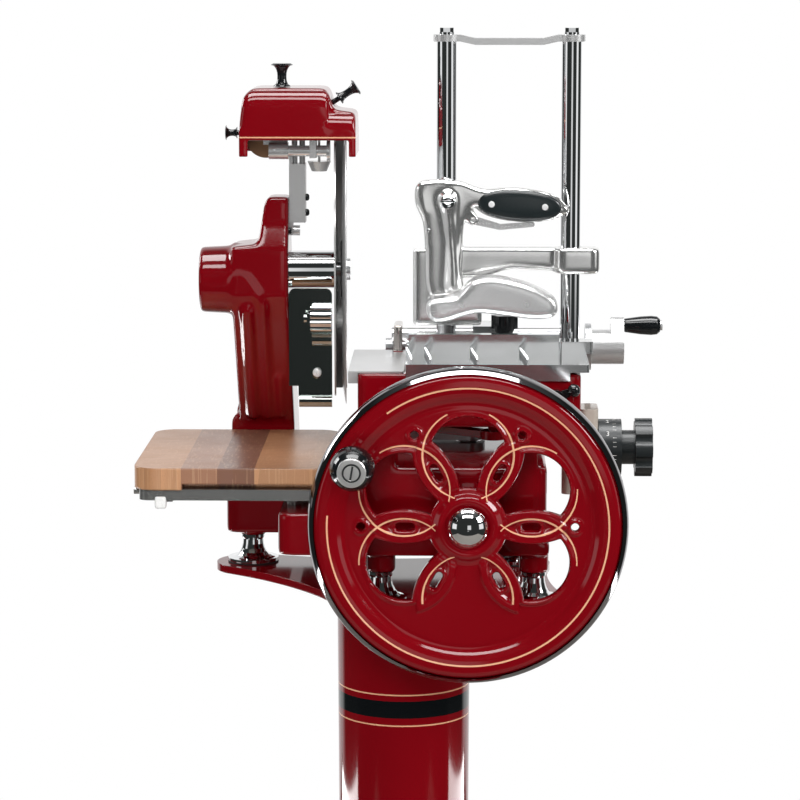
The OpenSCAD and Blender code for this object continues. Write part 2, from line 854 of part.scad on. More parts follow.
module board_tray() {
  z1 = board_z - board_t;
  x0 = board_left_x + tray_margin;
  x1 = board_right_x - step;
  y0 = board_front_y + tray_margin - sink;
  y1 = board_back_y - tray_margin;
  color(steel) on_deck() {
    difference() {
      round_slab(x0, x1, y0, y1, tray_low_z, z1, tray_r);
      round_slab(x0 + sheet_t, x1 - sheet_t, y0 + sheet_t, y1 - sheet_t, tray_low_z - over, z1 - sheet_t,
        tray_r - step);
    }
    for (y = [y0 + tray_posts[0], y1 - tray_posts[1]])
      bar_z(tray_post_r, base_step_z, z1 - sink, base_left_x + 2 * tray_post_r, y);
    bar_z(tray_post_r, base_step_z, z1 - sink, wing_left_x + 3 * tray_post_r, y1 - tray_posts[1]);
    slab(x0 + latch[0], x0 + latch[1], y0 + latch[2], y0 + latch[3], tray_low_z - corner_r, z1 - sink);
    bar_x(latch_pin[0], x0 - latch_pin[1], x0 + latch_pin[0] + sink, y0 + latch_pin[2],
      tray_low_z + tray_margin);
  }
}

module wood_board() {
  low = board_z - board_t;
  color([0.72, 0.50, 0.28]) on_deck() difference() {
    round_slab(board_left_x, board_right_x, board_front_y, board_back_y, low, board_z, board_r);
    slab(board_left_x + groove[0], board_right_x - groove[1], board_front_y - over, board_front_y + groove[2],
      low - over, low + groove[3]);
  }
}

// Flywheel

// Children are drawn about the wheel's axis, with Z towards the person who turns it
module wheel_axis() {
  translate([wheel_x, 0, ped_h + wheel_z]) rotate([90, 0, 0]) children();
}

wheel_r = wheel_d / 2;
face_r = wheel_r - rim_t;
rim_back = wheel_front - rim_w;
web_in = 6;
web_front = wheel_front - web_in;
web_back = web_front - web_t;
flange_w = 34;
flange_r = face_r - flange_w;
hub_back = wheel_boss_l - base_front_y + gap;
window_angles = [30, 90, 150, 210, 330];
spoke_angles = [0, 60, 120, 180, 240, 300];
spoke_mid_r = 71;
tick_r = 121;
tick_hole_r = 4.5;
slot_half = 7;
slot_r = 3.5;
window_margin = 8;
hub_fillet = 6;
rim_fillet = 4;
rim_bead = [5, 7, 11, 12];

module spoke_2d(half) {
  shift = spoke_arc_r - spoke_half;
  arc = shift + half;
  translate([spoke_mid_r, 0]) intersection() {
    translate([0, -shift]) circle(r = arc, $fn = 128);
    translate([0, shift]) circle(r = arc, $fn = 128);
  }
}

// One opening, made larger all round by grow
module window_2d(angle, grow) {
  difference() {
    rotate(angle) translate([window_ring_r, 0]) circle(r = window_r + grow);
    for (a = [-30, 30]) rotate(angle + a) spoke_2d(spoke_half - grow);
    circle(r = hub_r + window_margin - grow);
  }
}

module flywheel() {
  color(red) wheel_axis() difference() {
    union() {
      rotate_extrude($fn = 128) polygon([
        [0, hub_back], [hub_r * 0.8, hub_back], [hub_r, web_back - hub_fillet],
        [hub_r + hub_fillet, web_back], [flange_r - rim_fillet, web_back],
        [flange_r + rim_fillet, rim_back + rim_fillet], [face_r - hub_fillet, rim_back + step],
        [face_r, rim_back + hub_fillet], [face_r, wheel_front - rim_bead[1]],
        [face_r - rim_bead[0], wheel_front - sink], [face_r - rim_bead[2], wheel_front],
        [flange_r + rim_bead[3], wheel_front - sink], [flange_r + corner_r, web_front],
        [hub_r + hub_fillet, web_front], [hub_r - sink, wheel_front + sink], [0, wheel_front + sink]
      ]);
      translate([0, 0, web_front - sink]) linear_extrude(lip_h + sink) intersection() {
        circle(r = flange_r - rim_fillet);
        union() {
          for (a = window_angles) window_2d(a, lip_w);
          for (a = spoke_angles) rotate(a) spoke_2d(spoke_half - lip_w / 2);
        }
      }
      translate([0, 0, web_front - sink]) rotate(knob_angle) translate([knob_ring_r, 0, 0])
        cylinder(h = wheel_front + rim_fillet - web_front, r1 = spindle_d * 2, r2 = spindle_d * 1.6);
    }
    for (a = window_angles)
      translate([0, 0, web_back - rim_w]) linear_extrude(web_t + 2 * rim_w) window_2d(a, 0);
    for (a = spoke_angles) rotate(a) {
      translate([0, 0, web_front - sink]) linear_extrude(lip_h + over)
        spoke_2d(spoke_half - lip_w * 1.8);
    }
    for (a = [0, 60, 120, 180, 240, 300])
      translate([0, 0, web_back - over]) linear_extrude(web_t + lip_h + 2 * over) rotate(a)
        link_2d([spoke_mid_r - slot_half, 0], [spoke_mid_r + slot_half, 0], slot_r, slot_r);
    for (a = [0, 60, 120, 180])
      rotate(a) translate([tick_r, 0, web_back - over])
        cylinder(h = web_t + lip_h + 2 * over, r = tick_hole_r);
    translate([0, 0, hub_back - over]) cylinder(h = wheel_front, d = shaft_d + 2 * fit);
    rotate(knob_angle) translate([knob_ring_r, 0, rim_back - over])
      cylinder(h = 2 * rim_w, d = spindle_d + 2 * fit);
  }
}

module flywheel_rim() {
  half = rim_w / 2;
  mid = wheel_front - half;
  color(steel) wheel_axis() rotate_extrude($fn = 128) difference() {
    translate([0, mid]) intersection() {
      translate([wheel_r - half * 1.25, 0]) circle(r = half * 1.25);
      translate([face_r, -half]) square([rim_t + sink, rim_w]);
    }
    translate([0, rim_back - over]) square([face_r, rim_w + 2 * over]);
  }
}

cap_r = 23.5;
cap_h = 14;

module hub_cap() {
  ball = (cap_r * cap_r + cap_h * cap_h) / (2 * cap_h);
  front = wheel_front + sink;
  color(steel) wheel_axis() intersection() {
    translate([0, 0, front + cap_h - ball]) sphere(r = ball, $fn = 96);
    translate([0, 0, front]) cylinder(h = cap_h + over, r = cap_r);
  }
}

shaft_reach = 8;
shaft_end_y = cross_y - cross_r + shaft_reach;

module wheel_shaft() {
  color(steel) on_deck() bar_y(shaft_d / 2, -wheel_front, shaft_end_y, wheel_x, wheel_z);
}

crank_gear_z = wheel_z + pinion_r;
tooth_w = 14;
fine_tooth_w = 9;
collar = [10, 2, 14, 1];
crank_gear_top_z = crank_gear_z + fine_tooth_w;
crank_cone = atan(crank_gear_r / pinion_r);
bevel_cone = atan(bevel_r / cross_r);

module wheel_gears() {
  color(steel) on_deck() difference() {
    union() {
      translate([wheel_x, crank_y - crank_gear_r, wheel_z]) rotate([-90, 0, 0]) {
        bevel(pinion_teeth, crank_module, 90 - crank_cone, tooth_w);
        translate([0, 0, -collar[0]]) cylinder(h = collar[0] + collar[1], r = shaft_d);
      }
      translate([wheel_x, cross_y - cross_r, wheel_z]) rotate([-90, 0, 0]) {
        bevel(bevel_teeth, bevel_module, bevel_cone, fine_tooth_w);
        translate([0, 0, -collar[2]]) cylinder(h = collar[2] + collar[1], r = shaft_d);
      }
    }
    bar_y(shaft_d / 2 + fit, -wheel_front, cross_y, wheel_x, wheel_z);
  }
}

ball_way = 6;
ball_back = wheel_front + ball_way;
end_disc = [5, 16, 14];
end_ring = [4, 9.5, 8.5];
end_slot = [16, 1.6, 5];
ball_front = ball_back + ball_l;

module knob_spindle() {
  color(steel) wheel_axis() rotate(knob_angle) translate([knob_ring_r, 0, 0]) {
    translate([0, 0, rim_back]) cylinder(h = ball_front - rim_back, d = spindle_d);
    difference() {
      translate([0, 0, ball_front + gap / 2]) cylinder(h = end_disc[0], r1 = end_disc[1], r2 = end_disc[2]);
      translate([0, 0, ball_front + end_ring[0]]) difference() {
        cylinder(h = end_disc[0], r = end_ring[1]);
        cylinder(h = end_disc[0], r = end_ring[2]);
      }
      rotate(80) translate([-end_slot[0] / 2, -end_slot[1] / 2, ball_front + corner_r]) cube(end_slot);
    }
    translate([0, 0, ball_front - sink]) cylinder(h = 2 * sink, d = spindle_d);
  }
}

module wheel_knob() {
  r = ball_d / 2;
  color(dark) wheel_axis() rotate(knob_angle) translate([knob_ring_r, 0, ball_back]) difference() {
    rotate_extrude() polygon(concat(
      [[0, 0], [r * 0.55, 0], [r * 0.52, ball_l * 0.08]],
      [for (a = [-60 : 12 : 60]) [r * (0.28 + 0.72 * cos(a)), ball_l * 0.56 + ball_l * 0.46 * sin(a)]],
      [[r * 0.62, ball_l], [0, ball_l]]
    ));
    translate([0, 0, -over]) cylinder(h = ball_l + 2 * over, d = spindle_d + 2 * fit);
  }
}

// Blade drive

module cross_shaft() {
  color(steel) on_deck() bar_x(cross_d / 2, chain_x - collar[0], wheel_x - bevel_r + shaft_reach, cross_y,
    wheel_z);
}

module cross_gear() {
  color(steel) on_deck() difference() {
    translate([wheel_x - bevel_r, cross_y, wheel_z]) rotate([0, 90, 0]) {
      bevel(cross_teeth, bevel_module, 90 - bevel_cone, fine_tooth_w);
      translate([0, 0, -collar[2]]) cylinder(h = collar[2] + collar[3], r = cross_r * 0.7);
    }
    bar_x(cross_d / 2 + fit, cross_bracket_x, wheel_x, cross_y, wheel_z);
  }
}

function sprocket_r(teeth) = chain_pitch / (2 * sin(180 / teeth));
sprocket_t = 4;
rim_over = 1.5;
tooth_way = 0.6;
link_plate_t = 2;

module sprocket(teeth, bore_r) {
  r = sprocket_r(teeth);
  rotate([0, 90, 0]) translate([0, 0, -sprocket_t / 2]) difference() {
    cylinder(h = sprocket_t, r = r + rim_over);
    for (i = [0 : teeth - 1]) rotate([0, 0, 360 * i / teeth]) translate([r, 0, -over])
      cylinder(h = sprocket_t + 2 * over, r = roller_r + tooth_way);
    translate([0, 0, -over]) cylinder(h = sprocket_t + 2 * over, r = bore_r);
  }
}

module drive_sprocket() {
  color(steel) on_deck() translate([chain_x, cross_y, wheel_z]) sprocket(drive_teeth, cross_d / 2 + fit);
}

module blade_sprocket() {
  color(steel) on_deck() blade_axis() translate([(chain_x - blade_x) / cos(blade_toe), 0, 0])
    sprocket(driven_teeth, blade_shaft_d / 2 + fit);
}

module drive_chain() {
  ra = sprocket_r(drive_teeth);
  rb = sprocket_r(driven_teeth);
  half = sprocket_t / 2 + sink;
  color([0.35, 0.34, 0.32]) on_deck() for (s = [-1, 1])
    side_form(chain_x + s * half - (s < 0 ? link_plate_t : 0),
      chain_x + s * half + (s < 0 ? 0 : link_plate_t)) difference() {
      link_2d(case_low, case_high, ra + link_half, rb + link_half);
      link_2d(case_low, case_high, ra - link_half, rb - link_half);
    }
}

edge_back = 1.5;
edge_t = 0.6;
blade_pad_t = 2;
blade_slope = 4;

module blade() {
  r = blade_d / 2;
  bore = blade_shaft_d / 2 + fit;
  face = edge_x - edge_back;
  color(steel) on_deck() blade_axis() rotate([0, 90, 0]) rotate_extrude($fn = 128) polygon([
    [bore, face - blade_t - blade_pad_t], [bore * 4, face - blade_t - blade_pad_t],
    [bore * 4 + blade_slope, face - blade_t], [r - edge_w, face - blade_t], [r, edge_x - edge_t],
      [r, edge_x], [r - edge_w / 3, edge_x],
    [r - edge_w, face], [bore, face]
  ]);
}

module blade_shaft() {
  color(steel) on_deck() blade_axis() {
    bar_x(blade_shaft_d / 2, boss_left_x - blade_x + boss_floor + blade_slope, edge_x + blade_slope, 0, 0);
    bar_x(blade_shaft_d * 0.8, edge_x - edge_back, edge_x + blade_slope + sink, 0, 0);
  }
}

// Crank that moves the carriage

crank_arm_z = base_top_z + step;
rod_low_z = crank_arm_z + crank_t + step;
crank_hub_r = 20;
lightening_r = 6.5;
rod_shank_r = 9;
arm_r = 15;
crank_pin = [wheel_x - crank_r, crank_y];

module crank_gear() {
  color(steel) on_deck() difference() {
    union() {
      translate([wheel_x, crank_y, crank_gear_z]) rotate([180, 0, 0]) rotate(180 / crank_teeth)
        bevel(crank_teeth, crank_module, crank_cone, tooth_w);
      bar_z(crank_boss_r, crank_gear_z, crank_gear_top_z, wheel_x, crank_y);
      bar_z(shaft_d / 2, crank_gear_z, crank_arm_z + crank_t, wheel_x, crank_y);
      translate([0, 0, crank_arm_z]) linear_extrude(crank_t)
        link_2d([wheel_x, crank_y], crank_pin, crank_hub_r, arm_r);
      bar_z(rod_pin_d / 2, crank_arm_z, rod_low_z - gap, crank_pin[0], crank_pin[1]);
    }
    for (a = [0 : 60 : 300]) translate([wheel_x, crank_y, crank_gear_z - crank_hub_r]) rotate(a)
      translate([crank_gear_r * 0.475, 0, 0]) cylinder(h = 2 * crank_hub_r, r = lightening_r);
  }
}

module connecting_rod() {
  place = [rod_x, -rod_front];
  color(red) on_deck() difference() {
    union() {
      translate([0, 0, rod_low_z]) linear_extrude(rod_t) {
        translate(place) circle(r = arm_r);
        translate(crank_pin) circle(r = arm_r);
      }
      translate([0, 0, rod_low_z + sink]) linear_extrude(rod_t - 2 * sink)
        link_2d(place, crank_pin, rod_shank_r, rod_shank_r);
    }
    bar_z(rod_pin_d / 2 + fit, rod_low_z - over, rod_low_z + rod_t + over, rod_x, -rod_front);
    bar_z(rod_pin_d / 2 + fit, rod_low_z - over, rod_low_z + rod_t / 2, crank_pin[0], crank_pin[1]);
  }
}

// Carriage

lug_t = 11;
feed_left_x = -16;
feed_right_x = car_right_x - lug_t;
tube_wall = 4;
screw_wall = 6;
lug_front_y = tube_y - tube_d / 2 - tube_wall;
lug_back_y = screw_y + screw_d / 2 + screw_wall;
lug_top_z = tube_z + tube_d / 2 + tube_wall;
lug_low_z = screw_z - screw_d / 2 - screw_wall;
rail_boss_l = 30;
car_round = 8;
rod_boss_wall = 2.5;
side_plate_in = 8;
side_plate_h = 12;
tube_open_l = 40;

module carriage() {
  boss = rail_d / 2 + screw_wall;
  color(red) on_deck() difference() {
    union() {
      difference() {
        round_slab(car_left_x, car_right_x, car_front_y, car_back_y, car_low_z, car_top_z, car_round);
        round_slab(car_left_x + car_wall, car_right_x - car_wall, car_front_y + car_wall,
          car_back_y - car_wall, car_low_z - over, car_top_z - car_wall, corner_r);
      }
      for (x = [rail_left_x, rail_right_x], y = [car_front_y + sink, car_back_y - rail_boss_l - sink])
        bar_y(boss, y, y + rail_boss_l, x, rail_z);
      bar_z(rod_pin_d + rod_boss_wall, car_low_z, car_top_z - step, rod_x, -rod_front);
      bar_z(rod_pin_d / 2, rod_low_z - gap, car_low_z + sink, rod_x, -rod_front);
      for (x = [feed_left_x, feed_right_x])
        slab(x, x + lug_t, lug_front_y, lug_back_y, lug_low_z, lug_top_z);
    }
    for (x = [rail_left_x, rail_right_x])
      bar_y(rail_d / 2 + fit, car_front_y - over, car_back_y + over, x, rail_z);
    bar_x(tube_d / 2 + fit, feed_left_x - over, car_right_x + over, tube_y, tube_z);
    bar_x(screw_d / 2 + fit, feed_left_x - over, car_right_x + over, screw_y, screw_z);
    translate([lever_x, car_front_y - over, lever_z]) rotate([-90, 0, 0])
      cylinder(h = car_wall + 2 * over, r = lever_pin_r + fit);
  }
}

module side_plate() {
  top = car_top_z + step;
  front = car_front_y + side_plate_in;
  color(alloy) on_deck() difference() {
    union() {
      round_slab(side_plate_x, table_left_x - step, front, car_back_y, car_top_z, top, corner_r);
      slab(side_plate_x, car_left_x, front, car_back_y, car_top_z - side_plate_h, car_top_z);
    }
    slab(feed_left_x - gap, feed_left_x + lug_t + gap, lug_front_y - gap, car_back_y + over,
      car_top_z - over, top + over);
  }
}

module feed_rail() {
  color(steel) on_deck() difference() {
    bar_x(tube_d / 2, feed_left_x - step, car_right_x + step, tube_y, tube_z);
    bar_x(tube_d / 2 - corner_r, feed_left_x - corner_r, feed_left_x + tube_open_l, tube_y, tube_z);
  }
}

lever_x = 176;
lever_z = 224;
lever_pin_r = 5;
lever_hub = [9, 9];
lever_arm = [18, 8, 6, 4];
lever_blade = [8, 2];
lever_ball_r = 7.5;

module release_lever() {
  y = car_front_y - gap;
  color(dark) on_deck() {
    bar_y(lever_pin_r, y - step, car_front_y + car_wall + step, lever_x, lever_z);
    bar_y(lever_hub[0], y - lever_hub[1], y, lever_x, lever_z);
    front_form(y - lever_blade[0], y - lever_blade[1])
      link_2d([lever_x, lever_z], [lever_x + lever_arm[0], lever_z + lever_arm[1]], lever_arm[2],
        lever_arm[3]);
    bar_y(lever_arm[3], y - lever_hub[1], y - step, lever_x + lever_arm[0] + sink, lever_z + lever_arm[1]);
    translate([lever_x + lever_arm[0] + step, y - lever_hub[1], lever_z + lever_arm[1] + sink])
      sphere(r = lever_ball_r);
  }
}

// Meat table

nut_x = 80;
nut_w = 30;
apron_in = 22;
apron_t = 4;
apron_ahead = 0.1;
nut_in = 6;

module meat_table() {
  low = table_z - table_t;
  color(alloy) on_deck() difference() {
    union() {
      round_slab(table_left_x, table_right_x, table_front_y, table_back_y, low, table_z, corner_r);
      slab(table_left_x + sink, table_right_x - apron_in, table_front_y + apron_ahead,
        table_front_y + apron_t,
        table_z - apron_h, table_z - sink);
      slab(nut_x, nut_x + nut_w, table_back_y - nut_in, lug_back_y, low, lug_top_z);
      slab(nut_x, nut_x + nut_w, car_back_y + step, lug_back_y, lug_low_z, lug_top_z);
    }
    bar_x(tube_d / 2 + fit, nut_x - over, nut_x + nut_w + over, tube_y, tube_z);
    bar_x(screw_d / 2 + fit, nut_x - over, nut_x + nut_w + over, screw_y, screw_z);
  }
}

spike_places = [8, 30, 84, 142];
spike_front_y = -20;
spike_l = 82;
spike_turn = 5;

module meat_spikes() {
  way = spike_l / spike_teeth;
  color(steel) on_deck() for (x = spike_places)
    translate([x, spike_front_y, table_z]) rotate([0, 0, spike_turn]) rotate([90, 0, 90])
      linear_extrude(spike_t)
      polygon(concat(
        [[0, 0]],
        [for (i = [0 : spike_teeth - 1], k = [0, 1])
          [(i + k * 0.8) * way, k == 0 ? spike_h * 0.55 : spike_h]],
        [[spike_l, spike_h * 0.55], [spike_l, 0]]
      ));
}

fence_left_x = table_left_x + step;
fence_right_x = 182;
fence_block = [8, 16, 14, 4];

module meat_fence() {
  color(alloy) on_deck() {
    slab(fence_left_x, fence_right_x, fence_y, fence_y + fence_t, table_z, table_z + fence_h);
    round_slab(fence_right_x - sink, table_right_x + fence_block[0], fence_y - step,
      fence_y + fence_t + fence_block[1], table_z, table_z + fence_block[2], fence_block[3]);
    bar_x(corner_r, fence_left_x - corner_r, fence_left_x + sink, fence_y + fence_t / 2,
      table_z + fence_h / 2);
  }
}

fence_knob_x = 118;
fence_knob_y = 122;
fence_stem = [8, 14, 9, 13];
fence_star = [16, 6];
fence_knob_way = 0.3;

module fence_knob() {
  color(dark) on_deck() translate([fence_knob_x, fence_knob_y, table_z]) {
    translate([0, 0, fence_knob_way]) cylinder(h = fence_stem[1], r = fence_stem[0]);
    translate([0, 0, fence_stem[1]]) cylinder(h = fence_stem[2], r1 = fence_stem[0], r2 = fence_stem[3]);
    translate([0, 0, fence_stem[1] + fence_stem[2]]) lobed(fence_star[0], fence_star[0], 6, fence_star[1]);
  }
}

module clamp_columns() {
  color(steel) on_deck() for (x = [post_left_x, post_right_x])
    bar_z(post_d / 2, table_z, post_top_z, x, post_y);
}

module column_bridge() {
  end_r = 16;
  dip = 4;
  a = post_left_x;
  b = post_right_x;
  run = 34;
  bar_half = 11;
  color(alloy) on_deck() intersection() {
    front_form(post_y - end_r, post_y + end_r) polygon([
      [a - end_r, post_top_z], [a + end_r, post_top_z], [a + run, post_top_z - dip],
        [b - run, post_top_z - dip],
      [b - end_r, post_top_z], [b + end_r, post_top_z], [b + end_r, post_top_z + bridge_t],
      [b - end_r, post_top_z + bridge_t], [b - run, post_top_z + bridge_t - dip],
      [a + run, post_top_z + bridge_t - dip], [a + end_r, post_top_z + bridge_t],
        [a - end_r, post_top_z + bridge_t]
    ]);
    union() {
      translate([0, 0, post_top_z - dip - over]) linear_extrude(bridge_t + dip + 2 * over) {
        for (x = [a, b]) translate([x, post_y]) circle(r = end_r);
        translate([a, post_y - bar_half]) square([b - a, 2 * bar_half]);
      }
    }
  }
}

module bridge_bolts() {
  color(steel) on_deck() for (x = [post_left_x, post_right_x]) translate([x, post_y, post_top_z + bridge_t]) {
    cylinder(h = corner_r, r = plate_r + sink);
    translate([0, 0, corner_r]) cylinder(h = stud_r, r = plate_r, $fn = 6);
  }
}

// Feed screw with its crank

disc_r = 28.5;
disc_t = 7;
collar_l = 12;
disc_x = car_right_x + collar_l;
crank_hub_x = disc_x + disc_t;
crank_hub_l = 24;
crank_arm_x = crank_hub_x + crank_hub_l;
crank_arm_w = 16;
screw_seat = 6;
screw_collar = [3, 4, 10];
feed_hub_r = 21;
feed_end_r = 10;
pin_head = [6, 3];
handle_line = [8, 8.5, 2, 11, 11.8];

module feed_screw() {
  color(steel) on_deck() {
    bar_x(screw_d / 2, feed_left_x - screw_collar[1], crank_hub_x + screw_seat, screw_y, screw_z);
    bar_x(screw_d / 2 + screw_collar[0], car_right_x + gap, disc_x, screw_y, screw_z);
    bar_x(disc_r, disc_x, crank_hub_x, screw_y, screw_z);
    bar_x(screw_d / 2 + screw_collar[0], feed_left_x - screw_collar[2], feed_left_x - gap, screw_y, screw_z);
  }
}

feed_pin_r = 4;

module feed_crank() {
  end_x = crank_arm_x + crank_arm_w + feed_handle_l;
  color(alloy) on_deck() difference() {
    union() {
      bar_x(feed_hub_r, crank_hub_x, crank_arm_x + feed_pin_r, screw_y, screw_z);
      side_form(crank_arm_x, crank_arm_x + crank_arm_w)
        link_2d([screw_y, screw_z], [screw_y, screw_z + feed_r], feed_hub_r, feed_end_r);
      bar_x(feed_pin_r, crank_arm_x + sink, end_x + sink, screw_y, screw_z + feed_r);
      bar_x(pin_head[0], end_x + gap, end_x + pin_head[1], screw_y, screw_z + feed_r);
    }
    bar_x(screw_d / 2 + fit, crank_hub_x - over, crank_hub_x + screw_seat + gap, screw_y, screw_z);
  }
}

module feed_handle() {
  x = crank_arm_x + crank_arm_w + gap;
  color(dark) on_deck() translate([x, screw_y, screw_z + feed_r]) rotate([0, 90, 0]) difference() {
    rotate_extrude() polygon([
      [feed_pin_r + fit, 0], [handle_line[0], 0], [handle_line[1], handle_line[2]],
      [handle_line[3], feed_handle_l * 0.45], [handle_line[4], feed_handle_l * 0.75],
      [handle_line[3], feed_handle_l - feed_pin_r], [handle_line[0], feed_handle_l - gap],
      [feed_pin_r + fit, feed_handle_l - gap]
    ]);
  }
}

// Clamp

carrier_low_z = carrier_top_z - carrier_h;
sleeve_wall = 6;
sleeve_drop = 40;
sleeve_rise = 60;
sleeve_r = post_d / 2 + sleeve_wall;
sleeve_low_z = carrier_low_z - sleeve_drop;
plate_back_y = post_y - sleeve_r + step;
lever_back_y = plate_back_y - sleeve_wall - gap;
arm_half = 10;
arm_line = [[0, -6], [40, -8], [-70, 4]];
clamp_end = [16, 2, 10];
back_plate = [9, 90, 285, 330];
back_upright = 38;
back_rib = [8, 318];

clamp_rest = 4;

module on_columns() {
  on_deck() translate([0, 0, clamp_rest]) children();
}

module clamp_carrier() {
  front = plate_back_y - sleeve_wall;
  color(alloy) on_columns() difference() {
    union() {
      bar_z(sleeve_r, sleeve_low_z, carrier_top_z + sleeve_rise, post_left_x, post_y);
      front_form(post_y - arm_half, post_y + arm_half) polygon([
        [post_left_x, carrier_low_z] + arm_line[0], [post_left_x, carrier_low_z] + arm_line[1],
        [post_right_x, carrier_low_z] + arm_line[2], [post_right_x, carrier_low_z],
        [post_right_x, carrier_top_z], [post_left_x, carrier_top_z]
      ]);
      round_slab(post_right_x - sleeve_r, post_right_x + sleeve_r + clamp_end[0], post_y - sleeve_r,
        post_y + sleeve_r, carrier_low_z - clamp_end[1], carrier_top_z, clamp_end[2]);
      slab(back_plate[0], back_plate[1], front, plate_back_y, back_plate[2], back_plate[3]);
      slab(back_plate[0], back_upright, front, plate_back_y, back_plate[2], carrier_top_z);
      slab(post_left_x - back_rib[0], post_left_x + back_rib[0], front, post_y - post_d / 2 - sink,
        back_rib[1], carrier_top_z + sleeve_rise);
    }
    for (x = [post_left_x, post_right_x]) bar_z(post_d / 2 + fit, sleeve_low_z - over, post_top_z, x, post_y);
  }
}

// Outline of the lever: round the head, down the right side, the foot, up the left side
lever_line = [
  [12, 448], [18, 457], [40, 459], [66, 457], [84, 450], [104, 447], [128, 450], [150, 446], [172, 436],
  [190, 429], [192, 423], [184, 418], [164, 422], [140, 425], [112, 426], [92, 428], [78, 428], [70, 416],
  [67, 396], [66, 360], [64, 332], [58, 318], [42, 316], [30, 322], [25, 340], [24, 380], [21, 412], [13, 430]
];
grip_x = 137;
grip_z = 430;
lever_t = 16;
lever_seat = [[48, 420], [52, 340]];
lever_seat_r = 12;
trigger_eye = [62, 430];
trigger_eye_r = [10, 7];
trigger_way = [[20, -8]];
trigger_way_r = 9;
grip_bow = 50;
scale_t = 5;
lever_front_y = lever_back_y - lever_t;

module clamp_lever() {
  color(alloy) on_columns() difference() {
    union() {
      front_form(lever_front_y, lever_back_y) polygon(smooth(lever_line, 4));
      front_form(lever_back_y - sink, plate_back_y - sleeve_wall)
        link_2d(lever_seat[0], lever_seat[1], lever_seat_r, lever_seat_r);
      front_form(lever_front_y + step, lever_back_y - step)
        link_2d(trigger_eye, trigger_pin, trigger_eye_r[0], trigger_eye_r[1]);
    }
    front_form(trigger_y - trigger_t / 2 - gap, trigger_y + trigger_t / 2 + gap)
      link_2d(trigger_pin, trigger_pin + trigger_way[0], trigger_way_r, trigger_way_r);
    bar_y(trigger_pin_r + fit, lever_front_y - over, lever_back_y + over, trigger_pin[0], trigger_pin[1]);
  }
}

module clamp_grip() {
  color(dark) on_columns() for (y = [lever_front_y - scale_t, lever_back_y])
    front_form(y, y + scale_t) intersection() {
      translate([grip_x - step, grip_z - grip_bow]) circle(r = grip_bow + grip_h / 2, $fn = 128);
      translate([grip_x - step, grip_z + grip_bow]) circle(r = grip_bow + grip_h / 2, $fn = 128);
    }
}

trigger_pin = [80, 412];
trigger_pin_r = 2.5;
trigger_t = 6;
trigger_line = [[112, 404], [150, 407]];
trigger_r = [5, 3.5, 3];
trigger_y = (lever_front_y + lever_back_y) / 2;

module clamp_trigger() {
  color(steel) on_columns() {
    front_form(trigger_y - trigger_t / 2, trigger_y + trigger_t / 2) {
      link_2d(trigger_pin, trigger_line[0], trigger_r[0], trigger_r[1]);
      link_2d(trigger_line[0], trigger_line[1], trigger_r[1], trigger_r[2]);
    }
    bar_y(trigger_pin_r, lever_front_y + step, lever_back_y - step, trigger_pin[0], trigger_pin[1]);
  }
}

shoe_front_y = 56;
shoe_line = [
  [29.6, 320.3], [61.1, 324.6], [78, 341.6], [102.9, 346.9], [143.1, 338.4], [170.9, 324.6], [178.4, 313.7],
  [173.6, 303.7], [150.6, 301.4], [117.9, 305.3], [90.1, 308.4], [73.2, 306], [50.2, 298.5],
    [35.1, 296.8], [28, 306]
];
shoe_back_y = lever_front_y;

module clamp_shoe() {
  color(alloy) on_columns() front_form(shoe_front_y, shoe_back_y) polygon(smooth(shoe_line, 5));
}

// Thickness control, under the right end of the carriage

dial_drop = 52;
dial_round = 8;
dial_shoulder = [18, 6];
dial_shaft_r = 8;
dial_shaft_in = 10;
dial_hub = [20, 17, 20, 9];

module thickness_housing() {
  y0 = dial_y - dial_deep / 2;
  y1 = dial_y + dial_deep / 2;
  color([0.85, 0.83, 0.76]) on_deck() difference() {
    union() {
      round_slab(dial_left_x, dial_left_x + dial_w, y0, y1, dial_z - dial_drop, car_low_z, dial_round);
      round_slab(car_right_x + gap / 2, dial_left_x + dial_w, y0, y1, dial_z,
        car_low_z + dial_shoulder[0], dial_shoulder[1]);
    }
    bar_x(dial_shaft_r + fit, dial_left_x + dial_shaft_in, dial_left_x + dial_w + over, dial_y, dial_z);
  }
}

module thickness_knob() {
  x0 = dial_left_x + dial_w + gap;
  color(dark) on_deck() translate([0, dial_y, dial_z]) {
    bar_x(dial_shaft_r, dial_left_x + dial_shaft_in + step, x0 + sink, 0, 0);
    bar_x(drum_d / 2, x0, x0 + drum_l, 0, 0);
    bar_x(dial_hub[0], x0 + drum_l - sink, x0 + drum_l + dial_hub[1], 0, 0);
    translate([x0 + drum_l + dial_hub[1] - sink, 0, 0]) rotate([0, 90, 0])
      lobed(lobed_d / 2, dial_hub[2], 8, dial_hub[3]);
  }
}

// Sharpener above the blade

post_rod_r = 3.5;
post_rods = [-131, -122];
sharp_y = 94;
// Half widths of the plate, the block and the foot; sizes that follow run left to right and upwards
plate_half = 10;
block_half = 14;
post_plate = [4, 400, 500];
post_block = [-118, 415, 484];
rod_ends = [480, 552];
post_screw = [6, 12, 405];
rod_bore = [450, 556];

module sharpener_post() {
  color(steel) on_deck() {
    slab(head_right_x, head_right_x + post_plate[0], sharp_y - plate_half, sharp_y + plate_half,
      post_plate[1], post_plate[2]);
    slab(head_right_x, post_block[0], sharp_y - block_half, sharp_y + block_half, post_block[1],
      post_block[2]);
    for (x = post_rods) bar_z(post_rod_r, rod_ends[0], rod_ends[1], x, sharp_y);
    bar_x(post_screw[0], head_right_x + sink, head_right_x + post_screw[1], sharp_y - hook_half,
      post_screw[2]);
  }
}

